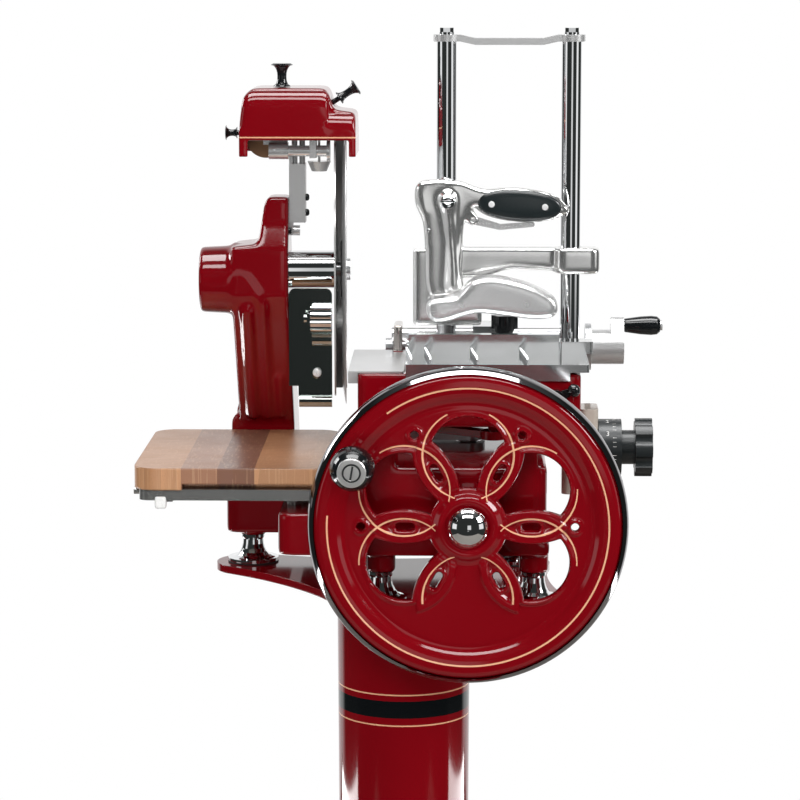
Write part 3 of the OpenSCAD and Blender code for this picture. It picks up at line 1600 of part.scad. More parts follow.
spindle_z = 500;
spindle_y = 74;
stone_x = -165;
stone_z = 514;
stone_r = 24;
hook_half = 4;
carrier_block = [-140, -108, 522];
carrier_cheek = [-112, -104, 492, 530, 9];
spindle = [[6.5, -137, -88], [10, -160, -137], [12, -92, -88]];
stone_arm = [-168, -139, 92, 98, 8, 545];
stone_pin = [4, 95, 111];
stone_y = [100, 109];
guide_pin = [1.5, 486, 540, -102];
guide_foot = [475, 12, 9, 14];
guide_hook = [-106, -98, 530, 545];
guide_bar = [-110, 536];

module sharpener_carrier() {
  color(steel) on_deck() difference() {
    union() {
      slab(carrier_block[0], carrier_block[1], sharp_y - block_half, sharp_y + block_half,
        carrier_block[2], cover_top_z - cover_wall);
      slab(carrier_cheek[0], carrier_cheek[1], spindle_y - carrier_cheek[4], sharp_y,
        carrier_cheek[2], carrier_cheek[3]);
      for (s = spindle) bar_x(s[0], s[1], s[2], spindle_y, spindle_z);
      slab(stone_arm[0], stone_arm[1], stone_arm[2], stone_arm[3], stone_z - stone_arm[4], stone_arm[5]);
      bar_y(stone_pin[0], stone_pin[1], stone_pin[2], stone_x, stone_z);
      bar_z(guide_pin[0], guide_pin[1], guide_pin[2], guide_pin[3], sharp_y);
      translate([guide_pin[3], sharp_y, guide_foot[0]])
        cylinder(h = guide_foot[1], r1 = guide_foot[2], r2 = guide_foot[3]);
      slab(guide_hook[0], guide_hook[1], sharp_y - hook_half, sharp_y + hook_half, guide_hook[2],
        guide_hook[3]);
      slab(guide_bar[0], guide_hook[1], sharp_y - hook_half, sharp_y + hook_half, guide_bar[1],
        guide_hook[3]);
    }
    for (x = post_rods) bar_z(post_rod_r + fit, rod_bore[0], rod_bore[1], x, sharp_y);
  }
}

module grinding_stone() {
  color([0.45, 0.30, 0.20]) on_deck() difference() {
    bar_y(stone_r, stone_y[0], stone_y[1], stone_x, stone_z);
    bar_y(stone_pin[0] + fit, stone_y[0] - over, stone_y[1] + over, stone_x, stone_z);
  }
}

cover_front_y = sharp_y - cover_deep / 2;
cover_back_y = sharp_y + cover_deep / 2;

cover_left = [[0, 20], [4, -10], [14, 0]];
cover_right = [[-35, 0], [-30, -11], [-27, 35], [0, 32]];
cover_lip = [6, 4];

module cover_outline(inset, low) {
  a = cover_left_x + inset;
  b = cover_right_x - inset;
  polygon([
    [a, low], [a, cover_low_z] + cover_left[0], [a, cover_top_z] + cover_left[1],
    [a, cover_top_z - inset] + cover_left[2], [b, cover_top_z - inset] + cover_right[0],
    [b, cover_top_z - inset] + cover_right[1], [b, cover_low_z - inset] + cover_right[2],
    [b, cover_low_z - inset] + cover_right[3], [b, low]
  ]);
}

module sharpener_cover() {
  color(red) on_deck() difference() {
    front_form(cover_front_y, cover_back_y) cover_outline(0, cover_leg_z);
    front_form(cover_front_y + cover_wall, cover_back_y - cover_wall)
      cover_outline(cover_wall, cover_leg_z - over);
    slab(cover_left_x + cover_wall + cover_lip[0], cover_right_x - cover_wall - cover_lip[1],
      cover_front_y - over,
      cover_back_y + over, cover_leg_z - over, cover_low_z);
    bar_z(knob_pin_r + fit, cover_top_z - knob_stem, cover_top_z + over, top_knob_x, sharp_y);
    bar_x(knob_pin_r + fit, cover_left_x - over, cover_left_x + knob_stem, sharp_y, side_knob_z);
    at_tilt_knob() translate([0, 0, -2 * knob_stem]) cylinder(h = 3 * knob_stem, r = knob_pin_r + fit);
  }
}

top_knob_x = -145.5;
side_knob_z = cover_low_z + cover_lip[0];
knob_pin_r = 3;
knob_stem = 10;
stem_in = 8;
tilt_knob_at = [-84, 43];
top_spool = [27, 13];
side_spool = [14, 9];
tilt_spool = [25, 10];
push_way = 5.5;
tilt_way = 7;
tilt_knob_turn = 57;

module spool(h, r) {
  rotate_extrude() polygon(concat(
    [[0, 0], [r * 0.78, 0]],
    [for (a = [0 : 15 : 90]) [r * (0.42 + 0.3 * (1 - sin(a))), h * 0.06 + h * 0.34 * (1 - cos(a))]],
    [for (a = [90 : -15 : 0]) [r * (0.42 + 0.55 * (1 - sin(a))), h * 0.92 - h * 0.45 * (1 - cos(a))]],
    [[r, h * 0.94], [r * 0.8, h], [0, h]]
  ));
}

module at_tilt_knob() {
  translate([tilt_knob_at[0], sharp_y, cover_low_z + tilt_knob_at[1]]) rotate([0, tilt_knob_turn, 0])
    children();
}

module sharpener_top_knob() {
  color(dark) on_deck() translate([top_knob_x, sharp_y, cover_top_z + gap]) {
    spool(top_spool[0], top_spool[1]);
    translate([0, 0, -stem_in]) cylinder(h = stem_in + sink, r = knob_pin_r);
  }
}

module sharpener_side_knob() {
  color(dark) on_deck() translate([cover_left_x - push_way, sharp_y, side_knob_z]) rotate([0, -90, 0]) {
    spool(side_spool[0], side_spool[1]);
    translate([0, 0, -push_way - stem_in]) cylinder(h = push_way + stem_in + sink, r = knob_pin_r);
  }
}

module sharpener_tilt_knob() {
  color(dark) on_deck() at_tilt_knob() {
    translate([0, 0, tilt_way]) spool(tilt_spool[0], tilt_spool[1]);
    translate([0, 0, -stem_in]) cylinder(h = tilt_way + stem_in + sink, r = knob_pin_r);
  }
}

pedestal_base();
pedestal_column();
pedestal_plate();
feet();
foot_pads();
foot_bolts();
base_casting();
slide_rails();
head_casting();
head_cover();
blade_housing();
blade_guard();
slice_deflector();
deflector_knob();
board_tray();
drive_chain();
flywheel();
flywheel_rim();
hub_cap();
wheel_shaft();
wheel_gears();
knob_spindle();
wheel_knob();
cross_shaft();
cross_gear();
drive_sprocket();
blade();
blade_shaft();
blade_sprocket();
crank_gear();
connecting_rod();
carriage();
side_plate();
feed_rail();
release_lever();
meat_table();
meat_spikes();
meat_fence();
fence_knob();
clamp_columns();
column_bridge();
bridge_bolts();
feed_screw();
feed_crank();
feed_handle();
clamp_carrier();
clamp_lever();
clamp_grip();
clamp_trigger();
clamp_shoe();
thickness_housing();
thickness_knob();
sharpener_post();
sharpener_carrier();
sharpener_cover();
grinding_stone();
sharpener_top_knob();
sharpener_side_knob();
sharpener_tilt_knob();
wood_board();
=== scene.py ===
import math

import bmesh
import bpy
import numpy as np
from mathutils import Matrix, Vector


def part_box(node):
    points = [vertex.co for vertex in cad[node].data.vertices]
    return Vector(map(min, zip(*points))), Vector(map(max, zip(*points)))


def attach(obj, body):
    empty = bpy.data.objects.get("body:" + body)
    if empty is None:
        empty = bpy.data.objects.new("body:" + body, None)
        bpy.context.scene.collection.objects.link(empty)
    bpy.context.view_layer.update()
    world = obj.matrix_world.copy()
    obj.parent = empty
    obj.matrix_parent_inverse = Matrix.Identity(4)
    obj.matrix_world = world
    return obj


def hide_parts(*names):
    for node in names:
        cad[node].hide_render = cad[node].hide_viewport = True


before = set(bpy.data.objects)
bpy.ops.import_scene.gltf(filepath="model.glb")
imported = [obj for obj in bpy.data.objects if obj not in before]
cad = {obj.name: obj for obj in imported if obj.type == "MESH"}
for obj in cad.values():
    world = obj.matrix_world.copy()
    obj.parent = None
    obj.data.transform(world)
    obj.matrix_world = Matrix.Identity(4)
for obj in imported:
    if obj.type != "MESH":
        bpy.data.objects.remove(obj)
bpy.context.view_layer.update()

MM = 0.001

# The view: a long lens in front of the wheel, at the height of the clamp's columns, looking
# slightly down, so that the machine fills the frame and its foot lies below the picture.
FOCAL_LENGTH, SENSOR_WIDTH, FAR_END = 137, 36, 60
CAMERA_PLACE = (75, -3500, 1529)
LOOK_DOWN, LOOK_LEFT = math.radians(8.5), math.radians(1.3)


def placed(name, data):
    """A new object in the scene, for a camera, a lamp or a mesh."""
    thing = bpy.data.objects.new(name, data)
    bpy.context.scene.collection.objects.link(thing)
    return thing


lens = bpy.data.cameras.new("camera")
lens.lens, lens.sensor_width, lens.clip_end = FOCAL_LENGTH, SENSOR_WIDTH, FAR_END
camera = placed("camera", lens)
camera.location = Vector(CAMERA_PLACE) * MM
camera.rotation_euler = (math.pi / 2 - LOOK_DOWN, 0, LOOK_LEFT)
bpy.context.scene.camera = camera


# The studio: a large box to the right and a smaller one behind on the left. Panels overhead and
# strips low down show only as reflections, and broad fills beside the lens light the paint without
# showing in it. Places and sizes are in metres.
def soft_box(name, place, size, power, aim=(0, 0, 1.0), gloss=True, light=True):
    """A lit rectangle. With gloss it shows in reflections, and with light it lights surfaces."""
    lamp = bpy.data.lights.new(name, "AREA")
    lamp.shape = "RECTANGLE"
    lamp.size, lamp.size_y = size
    lamp.energy = power
    box = placed(name, lamp)
    box.location = place
    box.rotation_euler = (Vector(aim) - Vector(place)).to_track_quat("-Z", "Y").to_euler()
    box.visible_glossy, box.visible_diffuse, box.visible_camera = gloss, light, False


bpy.context.scene.view_settings.view_transform = "Standard"
soft_box("right_box", (2.45, -1.05, 2.5), (1.1, 1.1), 60)
soft_box("left_box", (-2.3, 1.2, 2.1), (0.7, 1.0), 35)
soft_box("top_light", (0.0, -0.5, 3.3), (2.4, 0.5), 9, gloss=False)
soft_box("top_panel", (0.0, -0.05, 3.2), (2.0, 1.0), 75, light=False)
soft_box("front_top_panel", (0.0, -1.7, 3.4), (2.4, 0.6), 44, aim=(0, 0, 1.2), light=False)
soft_box("left_low_strip", (-1.25, 0.5, 0.10), (1.3, 0.14), 7, light=False)
soft_box("right_low_strip", (1.35, 0.5, 0.10), (1.3, 0.14), 5, light=False)
soft_box("fill", (-0.3, -3.2, 2.6), (1.8, 1.2), 66, gloss=False)
soft_box("low_fill", (-0.7, -2.8, 0.45), (1.6, 0.6), 26, gloss=False)


# The surroundings: a white sweep behind the machine, a dark room in front of it, and a few upright
# reflectors on either side, so that chrome and polished steel show black and white streaks.
class Socket:
    """One value in a finish. Sums, products and comparisons are written as they are."""

    def __init__(self, finish, link):
        self.finish, self.link = finish, link

    def apply(self, operation, *others):
        return self.finish.add("ShaderNodeMath", {"operation": operation}, [self, *others])

    def __add__(self, other):
        return self.apply("ADD", other)

    def __sub__(self, other):
        return self.apply("SUBTRACT", other)

    def __rsub__(self, other):
        return self.finish.add("ShaderNodeMath", {"operation": "SUBTRACT"}, [other, self])

    def __mul__(self, other):
        return self.apply("MULTIPLY", other)

    def __truediv__(self, other):
        return self.apply("DIVIDE", other)

    def __lt__(self, other):
        return self.apply("LESS_THAN", other)

    def __gt__(self, other):
        return self.apply("GREATER_THAN", other)

    def __abs__(self):
        return self.apply("ABSOLUTE")

    def at_most_one(self):
        return self.apply("MINIMUM", 1.0)

    def reach(self, other):
        """How far a point is from the middle, from its two coordinates."""
        return (self * self + other * other).apply("SQRT")

    def bearing(self, other):
        """The angle from the other axis towards this one, in degrees."""
        return self.apply("ARCTAN2", other) * (180 / math.pi)

    __radd__ = __add__
    __rmul__ = __mul__


class Finish:
    """The nodes of one finish, or of the surroundings."""

    def __init__(self, owner):
        owner.use_nodes = True
        self.owner, self.tree = owner, owner.node_tree

    def add(self, kind, settings=None, values=None, out=0):
        node = self.tree.nodes.new(kind)
        for key, value in (settings or {}).items():
            if key == "stops":
                ramp = node.color_ramp
                while len(ramp.elements) < len(value):
                    ramp.elements.new(0.5)
                for stop, (place, shade) in zip(ramp.elements, value):
                    stop.position, stop.color = place, (*shade, 1)
            else:
                setattr(node, key, value)
        pairs = values.items() if isinstance(values, dict) else enumerate(values or [])
        for key, value in pairs:
            self.set(node.inputs[key], value)
        return Socket(self, node.outputs[out])

    def set(self, socket, value):
        if isinstance(value, Socket):
            self.tree.links.new(value.link, socket)
        elif isinstance(value, (tuple, list)) and len(value) == 3 and socket.type == "RGBA":
            socket.default_value = (*value, 1)
        else:
            socket.default_value = value

    def split(self, vector):
        outputs = self.add("ShaderNodeSeparateXYZ", {}, [vector]).link.node.outputs
        return [Socket(self, outputs[i]) for i in range(3)]

    def blend(self, mask, first, second):
        values = {0: mask, 6: first, 7: second}
        return self.add("ShaderNodeMix", {"data_type": "RGBA"}, values, out=2)

    def noise(self, scale, detail=2.0, rough=0.5, vector=None):
        values = {"Scale": scale, "Detail": detail, "Roughness": rough}
        values["Vector"] = self.here() if vector is None else vector
        return self.add("ShaderNodeTexNoise", {}, values)

    def here(self):
        """Where a point lies on the object, in metres."""
        return self.add("ShaderNodeTexCoord", out=3)


def between(value, low, high, soft):
    """1 from low to high, with edges that fade over soft, in the surroundings."""
    lower, upper = (air.add("ShaderNodeMapRange", {}, {
        "Value": value, "From Min": end - soft, "From Max": end + soft}) for end in (low, high))
    return lower * (1 - upper)


world = bpy.data.worlds.new("studio")
bpy.context.scene.world = world
air = Finish(world)
ROOM, WHITE = (0.030, 0.033, 0.032), (1.0, 1.0, 1.0)
side, depth, up = air.split(air.add("ShaderNodeTexCoord", out=0))
turn = side.bearing(depth)
sweep = between(abs(turn), -10, 50, 5) * between(up, -2, 0.75, 0.1)
side_reflectors = between(abs(turn), 100, 124, 1.5)
front_reflector = (between(turn, 165, 178.4, 1.0) + between(turn, 178.4, 190, 0.4)
                   + between(turn, -190, -178.4, 0.4)) * 0.8
reflectors = (side_reflectors + front_reflector) * between(up, -0.115, 0.24, 0.02)
ceiling = between(up, 0.80, 2.0, 0.1) * 0.12
surround = (sweep + reflectors + ceiling).at_most_one()
seen = air.add("ShaderNodeLightPath", out=0)
backdrop = air.tree.nodes["Background"]
air.set(backdrop.inputs["Color"], air.blend(seen, air.blend(surround, ROOM, WHITE), WHITE))

# The floor: a square of matt stone-grey vinyl that the machine stands on.
FLOOR_LEFT, FLOOR_RIGHT, FLOOR_FRONT, FLOOR_BACK = -1.5, 1.6, -1.4, 1.6
floor_corners = [(FLOOR_LEFT, FLOOR_FRONT, 0), (FLOOR_RIGHT, FLOOR_FRONT, 0),
                 (FLOOR_RIGHT, FLOOR_BACK, 0), (FLOOR_LEFT, FLOOR_BACK, 0)]
floor_mesh = bpy.data.meshes.new("floor")
floor_mesh.from_pydata(floor_corners, [], [(0, 1, 2, 3)])
floor = placed("floor", floor_mesh)
vinyl = Finish(bpy.data.materials.new("floor_vinyl"))
vinyl_inputs = vinyl.tree.nodes["Principled BSDF"].inputs
speckled = vinyl.blend(vinyl.noise(40.0, 4.0), (0.25, 0.235, 0.21), (0.30, 0.28, 0.25))
vinyl.set(vinyl_inputs["Base Color"], speckled)
vinyl.set(vinyl_inputs["Roughness"], 0.7)
floor_mesh.materials.append(vinyl.owner)


# Pedestal: an iron foot, a tall column of rolled plate and a flat top plate, in a deep red stoved
# enamel. The paint flows a little while it dries, so it is never dead flat. A black band with a
# cream line on either side runs round the column under its top.
class Coat(Finish):
    """A finish on a piece: Blender's principled shader, with what is the same all over."""

    def __init__(self, name, colour, rough, metal=0.0):
        super().__init__(bpy.data.materials.new(name))
        self.inputs = self.tree.nodes["Principled BSDF"].inputs
        self.put("Base Color", colour)
        self.put("Roughness", rough)
        self.put("Metallic", metal)

    def put(self, key, value):
        self.set(self.inputs[key], value)

    def place_mm(self):
        """Where a point lies on the object: its x, y and z in mm."""
        values = {0: self.here(), "Scale": 1 / MM}
        return self.split(self.add("ShaderNodeVectorMath", {"operation": "SCALE"}, values))

    def relief(self, height, depth_mm, strength=1.0, edge=0.0):
        values = {"Height": height, "Distance": depth_mm * MM, "Strength": strength}
        if edge:
            radius = {"Radius": edge * MM}
            values["Normal"] = self.add("ShaderNodeBevel", {"samples": 4}, radius)
        self.put("Normal", self.add("ShaderNodeBump", {}, values))

    def on(self, *names):
        for name in names:
            mesh = cad[name].data
            mesh.materials.clear()
            mesh.materials.append(self.owner)


RED, CREAM = (0.205, 0.0014, 0.0052), (0.78, 0.42, 0.25)
BAND_BLACK, BAND_Z, BAND_HALF = (0.004, 0.005, 0.006), 655, 10
LINES_Z, LINES_APART, LINE_HALF = 654.2, 18.2, 0.8


def toned(colour, share):
    return tuple(c * share for c in colour)


def enamel(name, colour=RED, paint=None, edge=0.0):
    coat = Coat(name, colour, 0.07)
    flow = coat.noise(11.0, 2.0)
    grain = coat.noise(420.0, 2.0)
    shade = coat.blend(flow * 0.5, colour, toned(colour, 0.85))
    if paint:
        shade = paint(coat, shade)
    coat.put("Base Color", shade)
    coat.put("Roughness", 0.045 + 0.06 * grain)
    coat.relief(flow + 0.015 * grain, 0.12, 0.5, edge)
    return coat


def column_paint(coat, shade):
    z = coat.place_mm()[2]
    shade = coat.blend(abs(z - BAND_Z) < BAND_HALF, shade, BAND_BLACK)
    return coat.blend(abs(abs(z - LINES_Z) - LINES_APART) < LINE_HALF, shade, CREAM)


enamel("column_enamel", paint=column_paint, edge=1.0).on("pedestal_column")
enamel("plate_enamel", edge=1.5).on("pedestal_plate", "pedestal_base")


# Base casting: the machine's iron bed, bolted to the plate through its four feet. Sand casting
# leaves every edge eased and every inside corner filled, so the skin is drawn over the plain solids
# and smoothed until its edges round off.
def add_piece(name, mesh, body, slot, *nodes):
    piece = placed(name, mesh)
    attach(piece, body)
    if nodes:
        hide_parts(*nodes)
    return piece


def shaped(piece, kind, **settings):
    """One modifier, set and applied at once."""
    step = piece.modifiers.new(kind, kind)
    for key, value in settings.items():
        setattr(step, key, value)
    sight = bpy.context.evaluated_depsgraph_get()
    made = bpy.data.meshes.new_from_object(piece.evaluated_get(sight))
    piece.modifiers.clear()
    piece.data = made


def all_smooth(mesh):
    mesh.polygons.foreach_set("use_smooth", [True] * len(mesh.polygons))


def casting(name, body, slot, coat, nodes, grid, rounds, fillet=0.0, swell=0.0, keep=1.0,
            more=(), above=None):
    """A skin drawn over nodes and further meshes, in a grid of so many mm. It is smoothed a number
    of rounds, only over the height above where that is given, and inside corners get a fillet."""
    work = bmesh.new()
    for mesh in [cad[node].data for node in nodes] + list(more):
        work.from_mesh(mesh)
    mesh = bpy.data.meshes.new(name)
    work.to_mesh(mesh)
    work.free()
    piece = add_piece(name, mesh, body, slot, *nodes)
    skin = {"mode": "VOXEL", "voxel_size": grid * MM}
    shaped(piece, "REMESH", **skin)
    for growth in (fillet, -fillet) if fillet else ():
        shaped(piece, "SMOOTH", factor=0.5, iterations=4)
        shaped(piece, "DISPLACE", strength=growth * MM, mid_level=0.0)
        shaped(piece, "REMESH", **skin)
    smoothing = {"factor": 0.5, "iterations": rounds}
    if above is not None:
        fade = 8
        weights = piece.vertex_groups.new(name="soft")
        for point in piece.data.vertices:
            weight = min(max((point.co.z / MM - above) / fade, 0), 1)
            weights.add([point.index], weight, "REPLACE")
        smoothing["vertex_group"] = "soft"
    shaped(piece, "SMOOTH", **smoothing)
    piece.vertex_groups.clear()
    if swell:
        shaped(piece, "DISPLACE", strength=swell * MM, mid_level=0.0)
    if keep < 1:
        shaped(piece, "DECIMATE", ratio=keep)
    piece.data.materials.clear()
    piece.data.materials.append(coat.owner)
    all_smooth(piece.data)
    return piece


red_enamel = enamel("red_enamel")
casting("bed_casting", "frame", "red", red_enamel, ["base_casting"], 2.2, 14, keep=0.4)


# Head: the tall iron casting that carries the blade, bolted to the bed's rear wing, with its
# bearing boss and the chain case cast on. The case's front stands out as a rounded rib, and all of
# it flows together in wide fillets.
def rib(points, spacing=2.0):
    """A chain of round swellings that melts into a casting: x, y, z and radius, in mm."""
    work = bmesh.new()
    for start, end in zip(points, points[1:]):
        steps = max(2, int(math.dist(start[:3], end[:3]) / spacing))
        for k in range(steps + 1):
            *place, radius = (a + (b - a) * k / steps for a, b in zip(start, end))
            bmesh.ops.create_icosphere(work, subdivisions=2, radius=radius * MM,
                                       matrix=Matrix.Translation(Vector(place) * MM))
    mesh = bpy.data.meshes.new("rib")
    work.to_mesh(mesh)
    work.free()
    return mesh


FRONT_HEIGHTS = [960, 1010, 1100, 1119, 1124]
FRONT_DEPTHS = [159.4, 126.5, 64.0, 52.8, 52.0]


def down_front(x, sunk, radius, top, low):
    """Points of a rib that runs down the case's sloping front."""
    return [(x, float(np.interp(z, FRONT_HEIGHTS, FRONT_DEPTHS)) + sunk, z, radius)
            for z in range(top, low, -4)]


case_rib = rib(down_front(-186, 2, 10, 1104, 967), 4.0)
edge_rib = rib([(-205, 57, 1148, 7), (-188, 57, 1142, 7), (-173, 57, 1120, 7)]
               + down_front(-168, 2, 7, 1112, 963), 3.0)
foot_rib = rib(down_front(-152, 1, 5, 1016, 961), 3.0)
casting("head_with_case", "frame", "red", red_enamel, ["head_casting", "head_cover"], 1.9, 8,
        fillet=3.0, keep=0.4, more=[case_rib, edge_rib, foot_rib])


# Flywheel: one iron casting on its shaft. Five round openings leave six lens-shaped spokes, each
# with a trough and a slot, and the sixth field is closed. A cream line is painted round each
# opening, and a thinner one round the rim.
WHEEL_X, WHEEL_Z = 75.0, 890.0
WHEEL_INNER, WHEEL_OUTER, WHEEL_HUB = 8.0, 172.0, 44.0
WINDOW_RING, WINDOW_R, LINE_R = 81.5, 42.5, 50.5
SPOKE_MID, SPOKE_SHIFT, SPOKE_ARC = 71.0, 67.0, 86.0
SLOT_START, SLOT_END, SLOT_R = 64, 76, 4.0
HOLE_RING, HOLE_R = 119.0, 4.5
SPOKES = [math.radians(a) for a in range(0, 360, 60)]
WINDOWS = [math.radians(a) for a in (30, 90, 150, 210, 330)]
# Radius and height of the face, and of the back, from the axle outwards
FACE = [(0, 183), (24, 183), (26, 184.5), (29, 185.5), (31, 185.8), (33.5, 185), (36, 183),
        (39, 180.5), (44, 179), (133, 179), (137, 178.5), (141, 179.5), (146, 183), (151, 185),
        (158, 186), (165, 185.4), (169, 183.5), (171, 181), (172, 178)]
BACK = [(0, 146), (29, 146), (36, 163), (42, 170), (136, 170), (142, 166), (148, 157), (160, 154),
        (168, 155), (172, 160)]
LIP_RISE, TROUGH_DEPTH, EDGE_DROP = 2.6, 1.8, 1.4


def ease(value, low, high):
    share = np.clip((value - low) / (high - low), 0, 1)
    return share * share * (3 - 2 * share)


def from_point(u, v, radius, angle, across=0.0):
    c, s = math.cos(angle), math.sin(angle)
    return np.hypot(u - (radius * c - across * s), v - (radius * s + across * c))


def wheel_edge(u, v):
    """Distance from the nearest opening, in mm, positive in the metal."""
    spokes = [SPOKE_ARC - from_point(u, v, SPOKE_MID, a, shift)
              for a in SPOKES for shift in (SPOKE_SHIFT, -SPOKE_SHIFT)]
    lens_shape = np.maximum.reduce([np.minimum(*pair) for pair in zip(spokes[::2], spokes[1::2])])
    past_hub = np.hypot(u, v) - WHEEL_HUB
    reach = np.full_like(u, 1e3)
    for a in WINDOWS:
        round_hole = WINDOW_R - from_point(u, v, WINDOW_RING, a)
        reach = np.minimum(reach, -np.minimum.reduce([round_hole, -lens_shape, past_hub]))
    for a in SPOKES:
        along = u * math.cos(a) + v * math.sin(a)
        aside = -u * math.sin(a) + v * math.cos(a)
        slot_line = np.hypot(along - np.clip(along, SLOT_START, SLOT_END), aside)
        reach = np.minimum(reach, slot_line - SLOT_R)
    for a in SPOKES[:4]:
        reach = np.minimum(reach, from_point(u, v, HOLE_RING, a) - HOLE_R)
    return reach


def wheel_front(u, v, edge):
    radius = np.hypot(u, v)
    rounds = [from_point(u, v, WINDOW_RING, a + math.pi / 6) for a in SPOKES]
    overlap = LINE_R - np.sort(np.stack(rounds), axis=0)[1]
    opening_lip = ease(edge, 0, 1.4) * (1 - ease(edge, 3.4, 6.4))
    spoke_lip = ease(overlap, -9, -6) * (1 - ease(overlap, -1, 4))
    lip = np.maximum(opening_lip, spoke_lip) * (1 - ease(radius, 118, 132)) * ease(radius, 38, 48)
    trough = ease(overlap, 2, 6) * ease(radius, 40, 50)
    eased_edge = 1 - ease(edge, 0, 1.2)
    return (np.interp(radius, *zip(*FACE)) + LIP_RISE * lip - TROUGH_DEPTH * trough
            - EDGE_DROP * eased_edge)


def wheel_back(radius):
    return np.interp(radius, *zip(*BACK))


def pierced_disc(name, inner, outer, rings, turns, edge_of, front_of, back_of):
    """A disc with openings: a round grid whose nearest points are drawn onto an opening's edge."""
    probe, grasp, steepness, margin = 0.05, 0.62, 0.2, 0.12
    radius, angle = np.meshgrid(
        np.linspace(inner, outer, rings), np.linspace(0, math.tau, turns, endpoint=False),
        indexing="ij")
    u, v = radius * np.cos(angle), radius * np.sin(angle)
    for _ in range(3):
        edge = edge_of(u, v)
        du = (edge_of(u + probe, v) - edge) / probe
        dv = (edge_of(u, v + probe) - edge) / probe
        near = (np.abs(edge) < grasp) & (radius > inner) & (radius < outer)
        scale = np.where(near, edge / np.maximum(du * du + dv * dv, steepness), 0)
        u, v = u - scale * du, v - scale * dv
    edge = edge_of(u, v)
    metal = (edge > -margin).reshape(-1)
    index = np.arange(rings * turns).reshape(rings, turns)
    ahead = np.roll(index, -1, axis=1)
    corners = np.stack([index[:-1], ahead[:-1], ahead[1:], index[1:]], axis=-1).reshape(-1, 4)
    kept = metal[corners]
    quads = corners[kept.all(axis=1)]
    threes = corners[kept.sum(axis=1) == 3]
    faces = [tuple(int(i) for i in q[::-1]) for q in quads]
    faces += [tuple(int(i) for i in t[held][::-1]) for t, held in zip(threes, metal[threes])]
    edge = np.maximum(edge, 0)
    top = np.stack([u, -front_of(u, v, edge), v], axis=-1).reshape(-1, 3)
    low = np.stack([u, -back_of(np.hypot(u, v)), v], axis=-1).reshape(-1, 3)
    count = len(top)
    sides = dict.fromkeys((a, b) for face in faces for a, b in zip(face, face[1:] + face[:1]))
    walls = [(a, a + count, b + count, b) for a, b in sides if (b, a) not in sides]
    faces += [tuple(i + count for i in reversed(f)) for f in faces] + walls
    mesh = bpy.data.meshes.new(name)
    points = (np.concatenate([top, low]) + np.array([WHEEL_X, 0, WHEEL_Z])) * MM
    mesh.from_pydata(points.tolist(), [], faces)
    work = bmesh.new()
    work.from_mesh(mesh)
    bmesh.ops.delete(work, geom=[p for p in work.verts if not p.link_faces], context="VERTS")
    bmesh.ops.recalc_face_normals(work, faces=work.faces)
    work.to_mesh(mesh)
    work.free()
    return mesh


def smooth_by_angle(mesh, degrees):
    all_smooth(mesh)
    work = bmesh.new()
    work.from_mesh(mesh)
    for line in work.edges:
        if len(line.link_faces) == 2:
            line.smooth = line.calc_face_angle() < math.radians(degrees)
    work.to_mesh(mesh)
    work.free()


# The line round the rim stops on either side of the knob's boss
RIM_LINE_R, RIM_LINE_HALF, RIM_GAP_AT, RIM_GAP_HALF = 156.5, 0.95, 150, 25
ARC_HALF, ARC_THINS, ARC_END, PAINTED_FROM_Y = 1.1, 0.006, 163, -176.5
# Where each arc lies round the wheel, and how far from its outer end its two halves start, in
# degrees, with 200 for a half that isn't painted. The closed field has only the inner halves.
ARCS = ((30, 27, 27), (90, 27, 27), (150, 27, 27), (210, 200, 27), (330, 27, 200), (270, 84, 84))


def wheel_lines(coat, shade):
    x, y, z = coat.place_mm()
    u, v = x - WHEEL_X, z - WHEEL_Z
    rim_line = abs(u.reach(v) - RIM_LINE_R) < RIM_LINE_HALF
    mask = rim_line * (abs(v.bearing(u) - RIM_GAP_AT) > RIM_GAP_HALF)
    for at, left, right in ARCS:
        c, s = math.cos(math.radians(at)), math.sin(math.radians(at))
        along, aside = u * c + v * s - WINDOW_RING, v * c - u * s
        bend = aside.bearing(along)
        thick = ARC_HALF - ARC_THINS * abs(abs(bend) - 90)
        arc = (abs(along.reach(aside) - LINE_R) < thick) * (abs(bend) < ARC_END)
        mask = mask + arc * ((bend > left) + (bend < -right))
    line = (mask * (y < PAINTED_FROM_Y)).at_most_one()
    return coat.blend(line, shade, CREAM)


wheel_mesh = pierced_disc("flywheel_casting", WHEEL_INNER, WHEEL_OUTER, 150, 800, wheel_edge,
                          wheel_front, wheel_back)
smooth_by_angle(wheel_mesh, 50)
wheel_mesh.materials.append(enamel("wheel_enamel", paint=wheel_lines).owner)
add_piece("flywheel_casting", wheel_mesh, "wheel", "red", "flywheel")


# Bright parts: the wheel's rim and hub cap, the feet, the rails and the blade's housing are steel,
# plated with chrome and buffed. Shafts, gears and sprockets are ground and left bare. Fine
# hairlines from wiping break up the reflections a little.
def bright(name, colour, rough, wear, scratch, metal=1.0, edge=0.4, fade=0.93):
    coat = Coat(name, colour, rough, metal)
    haze = coat.noise(30.0, 3.0)
    fine = coat.noise(900.0, 1.0)
    coat.put("Roughness", rough + wear * haze)
    coat.put("Base Color", coat.blend(haze, colour, toned(colour, fade)))
    coat.relief(fine, scratch, 0.4, edge)
    return coat


chrome = bright("chrome", (0.80, 0.81, 0.82), 0.03, 0.02, 0.0001, edge=0.0)
chrome.on("feet", "slide_rails", "blade_housing", "hub_cap")
# The rim is chrome too, but its colour is set much darker than the other chrome, which dims its
# reflections: painted shade.
bright("rim_chrome_painted_dark", (0.30, 0.29, 0.30), 0.05, 0.03, 0.0002, edge=0.0).on("flywheel_rim")
ground = bright("ground_steel", (0.56, 0.57, 0.58), 0.25, 0.12, 0.01, 0.9)
ground.on("foot_bolts", "wheel_shaft", "wheel_gears", "crank_gear", "cross_shaft", "cross_gear",
          "drive_sprocket", "drive_chain", "blade_sprocket", "blade_shaft")

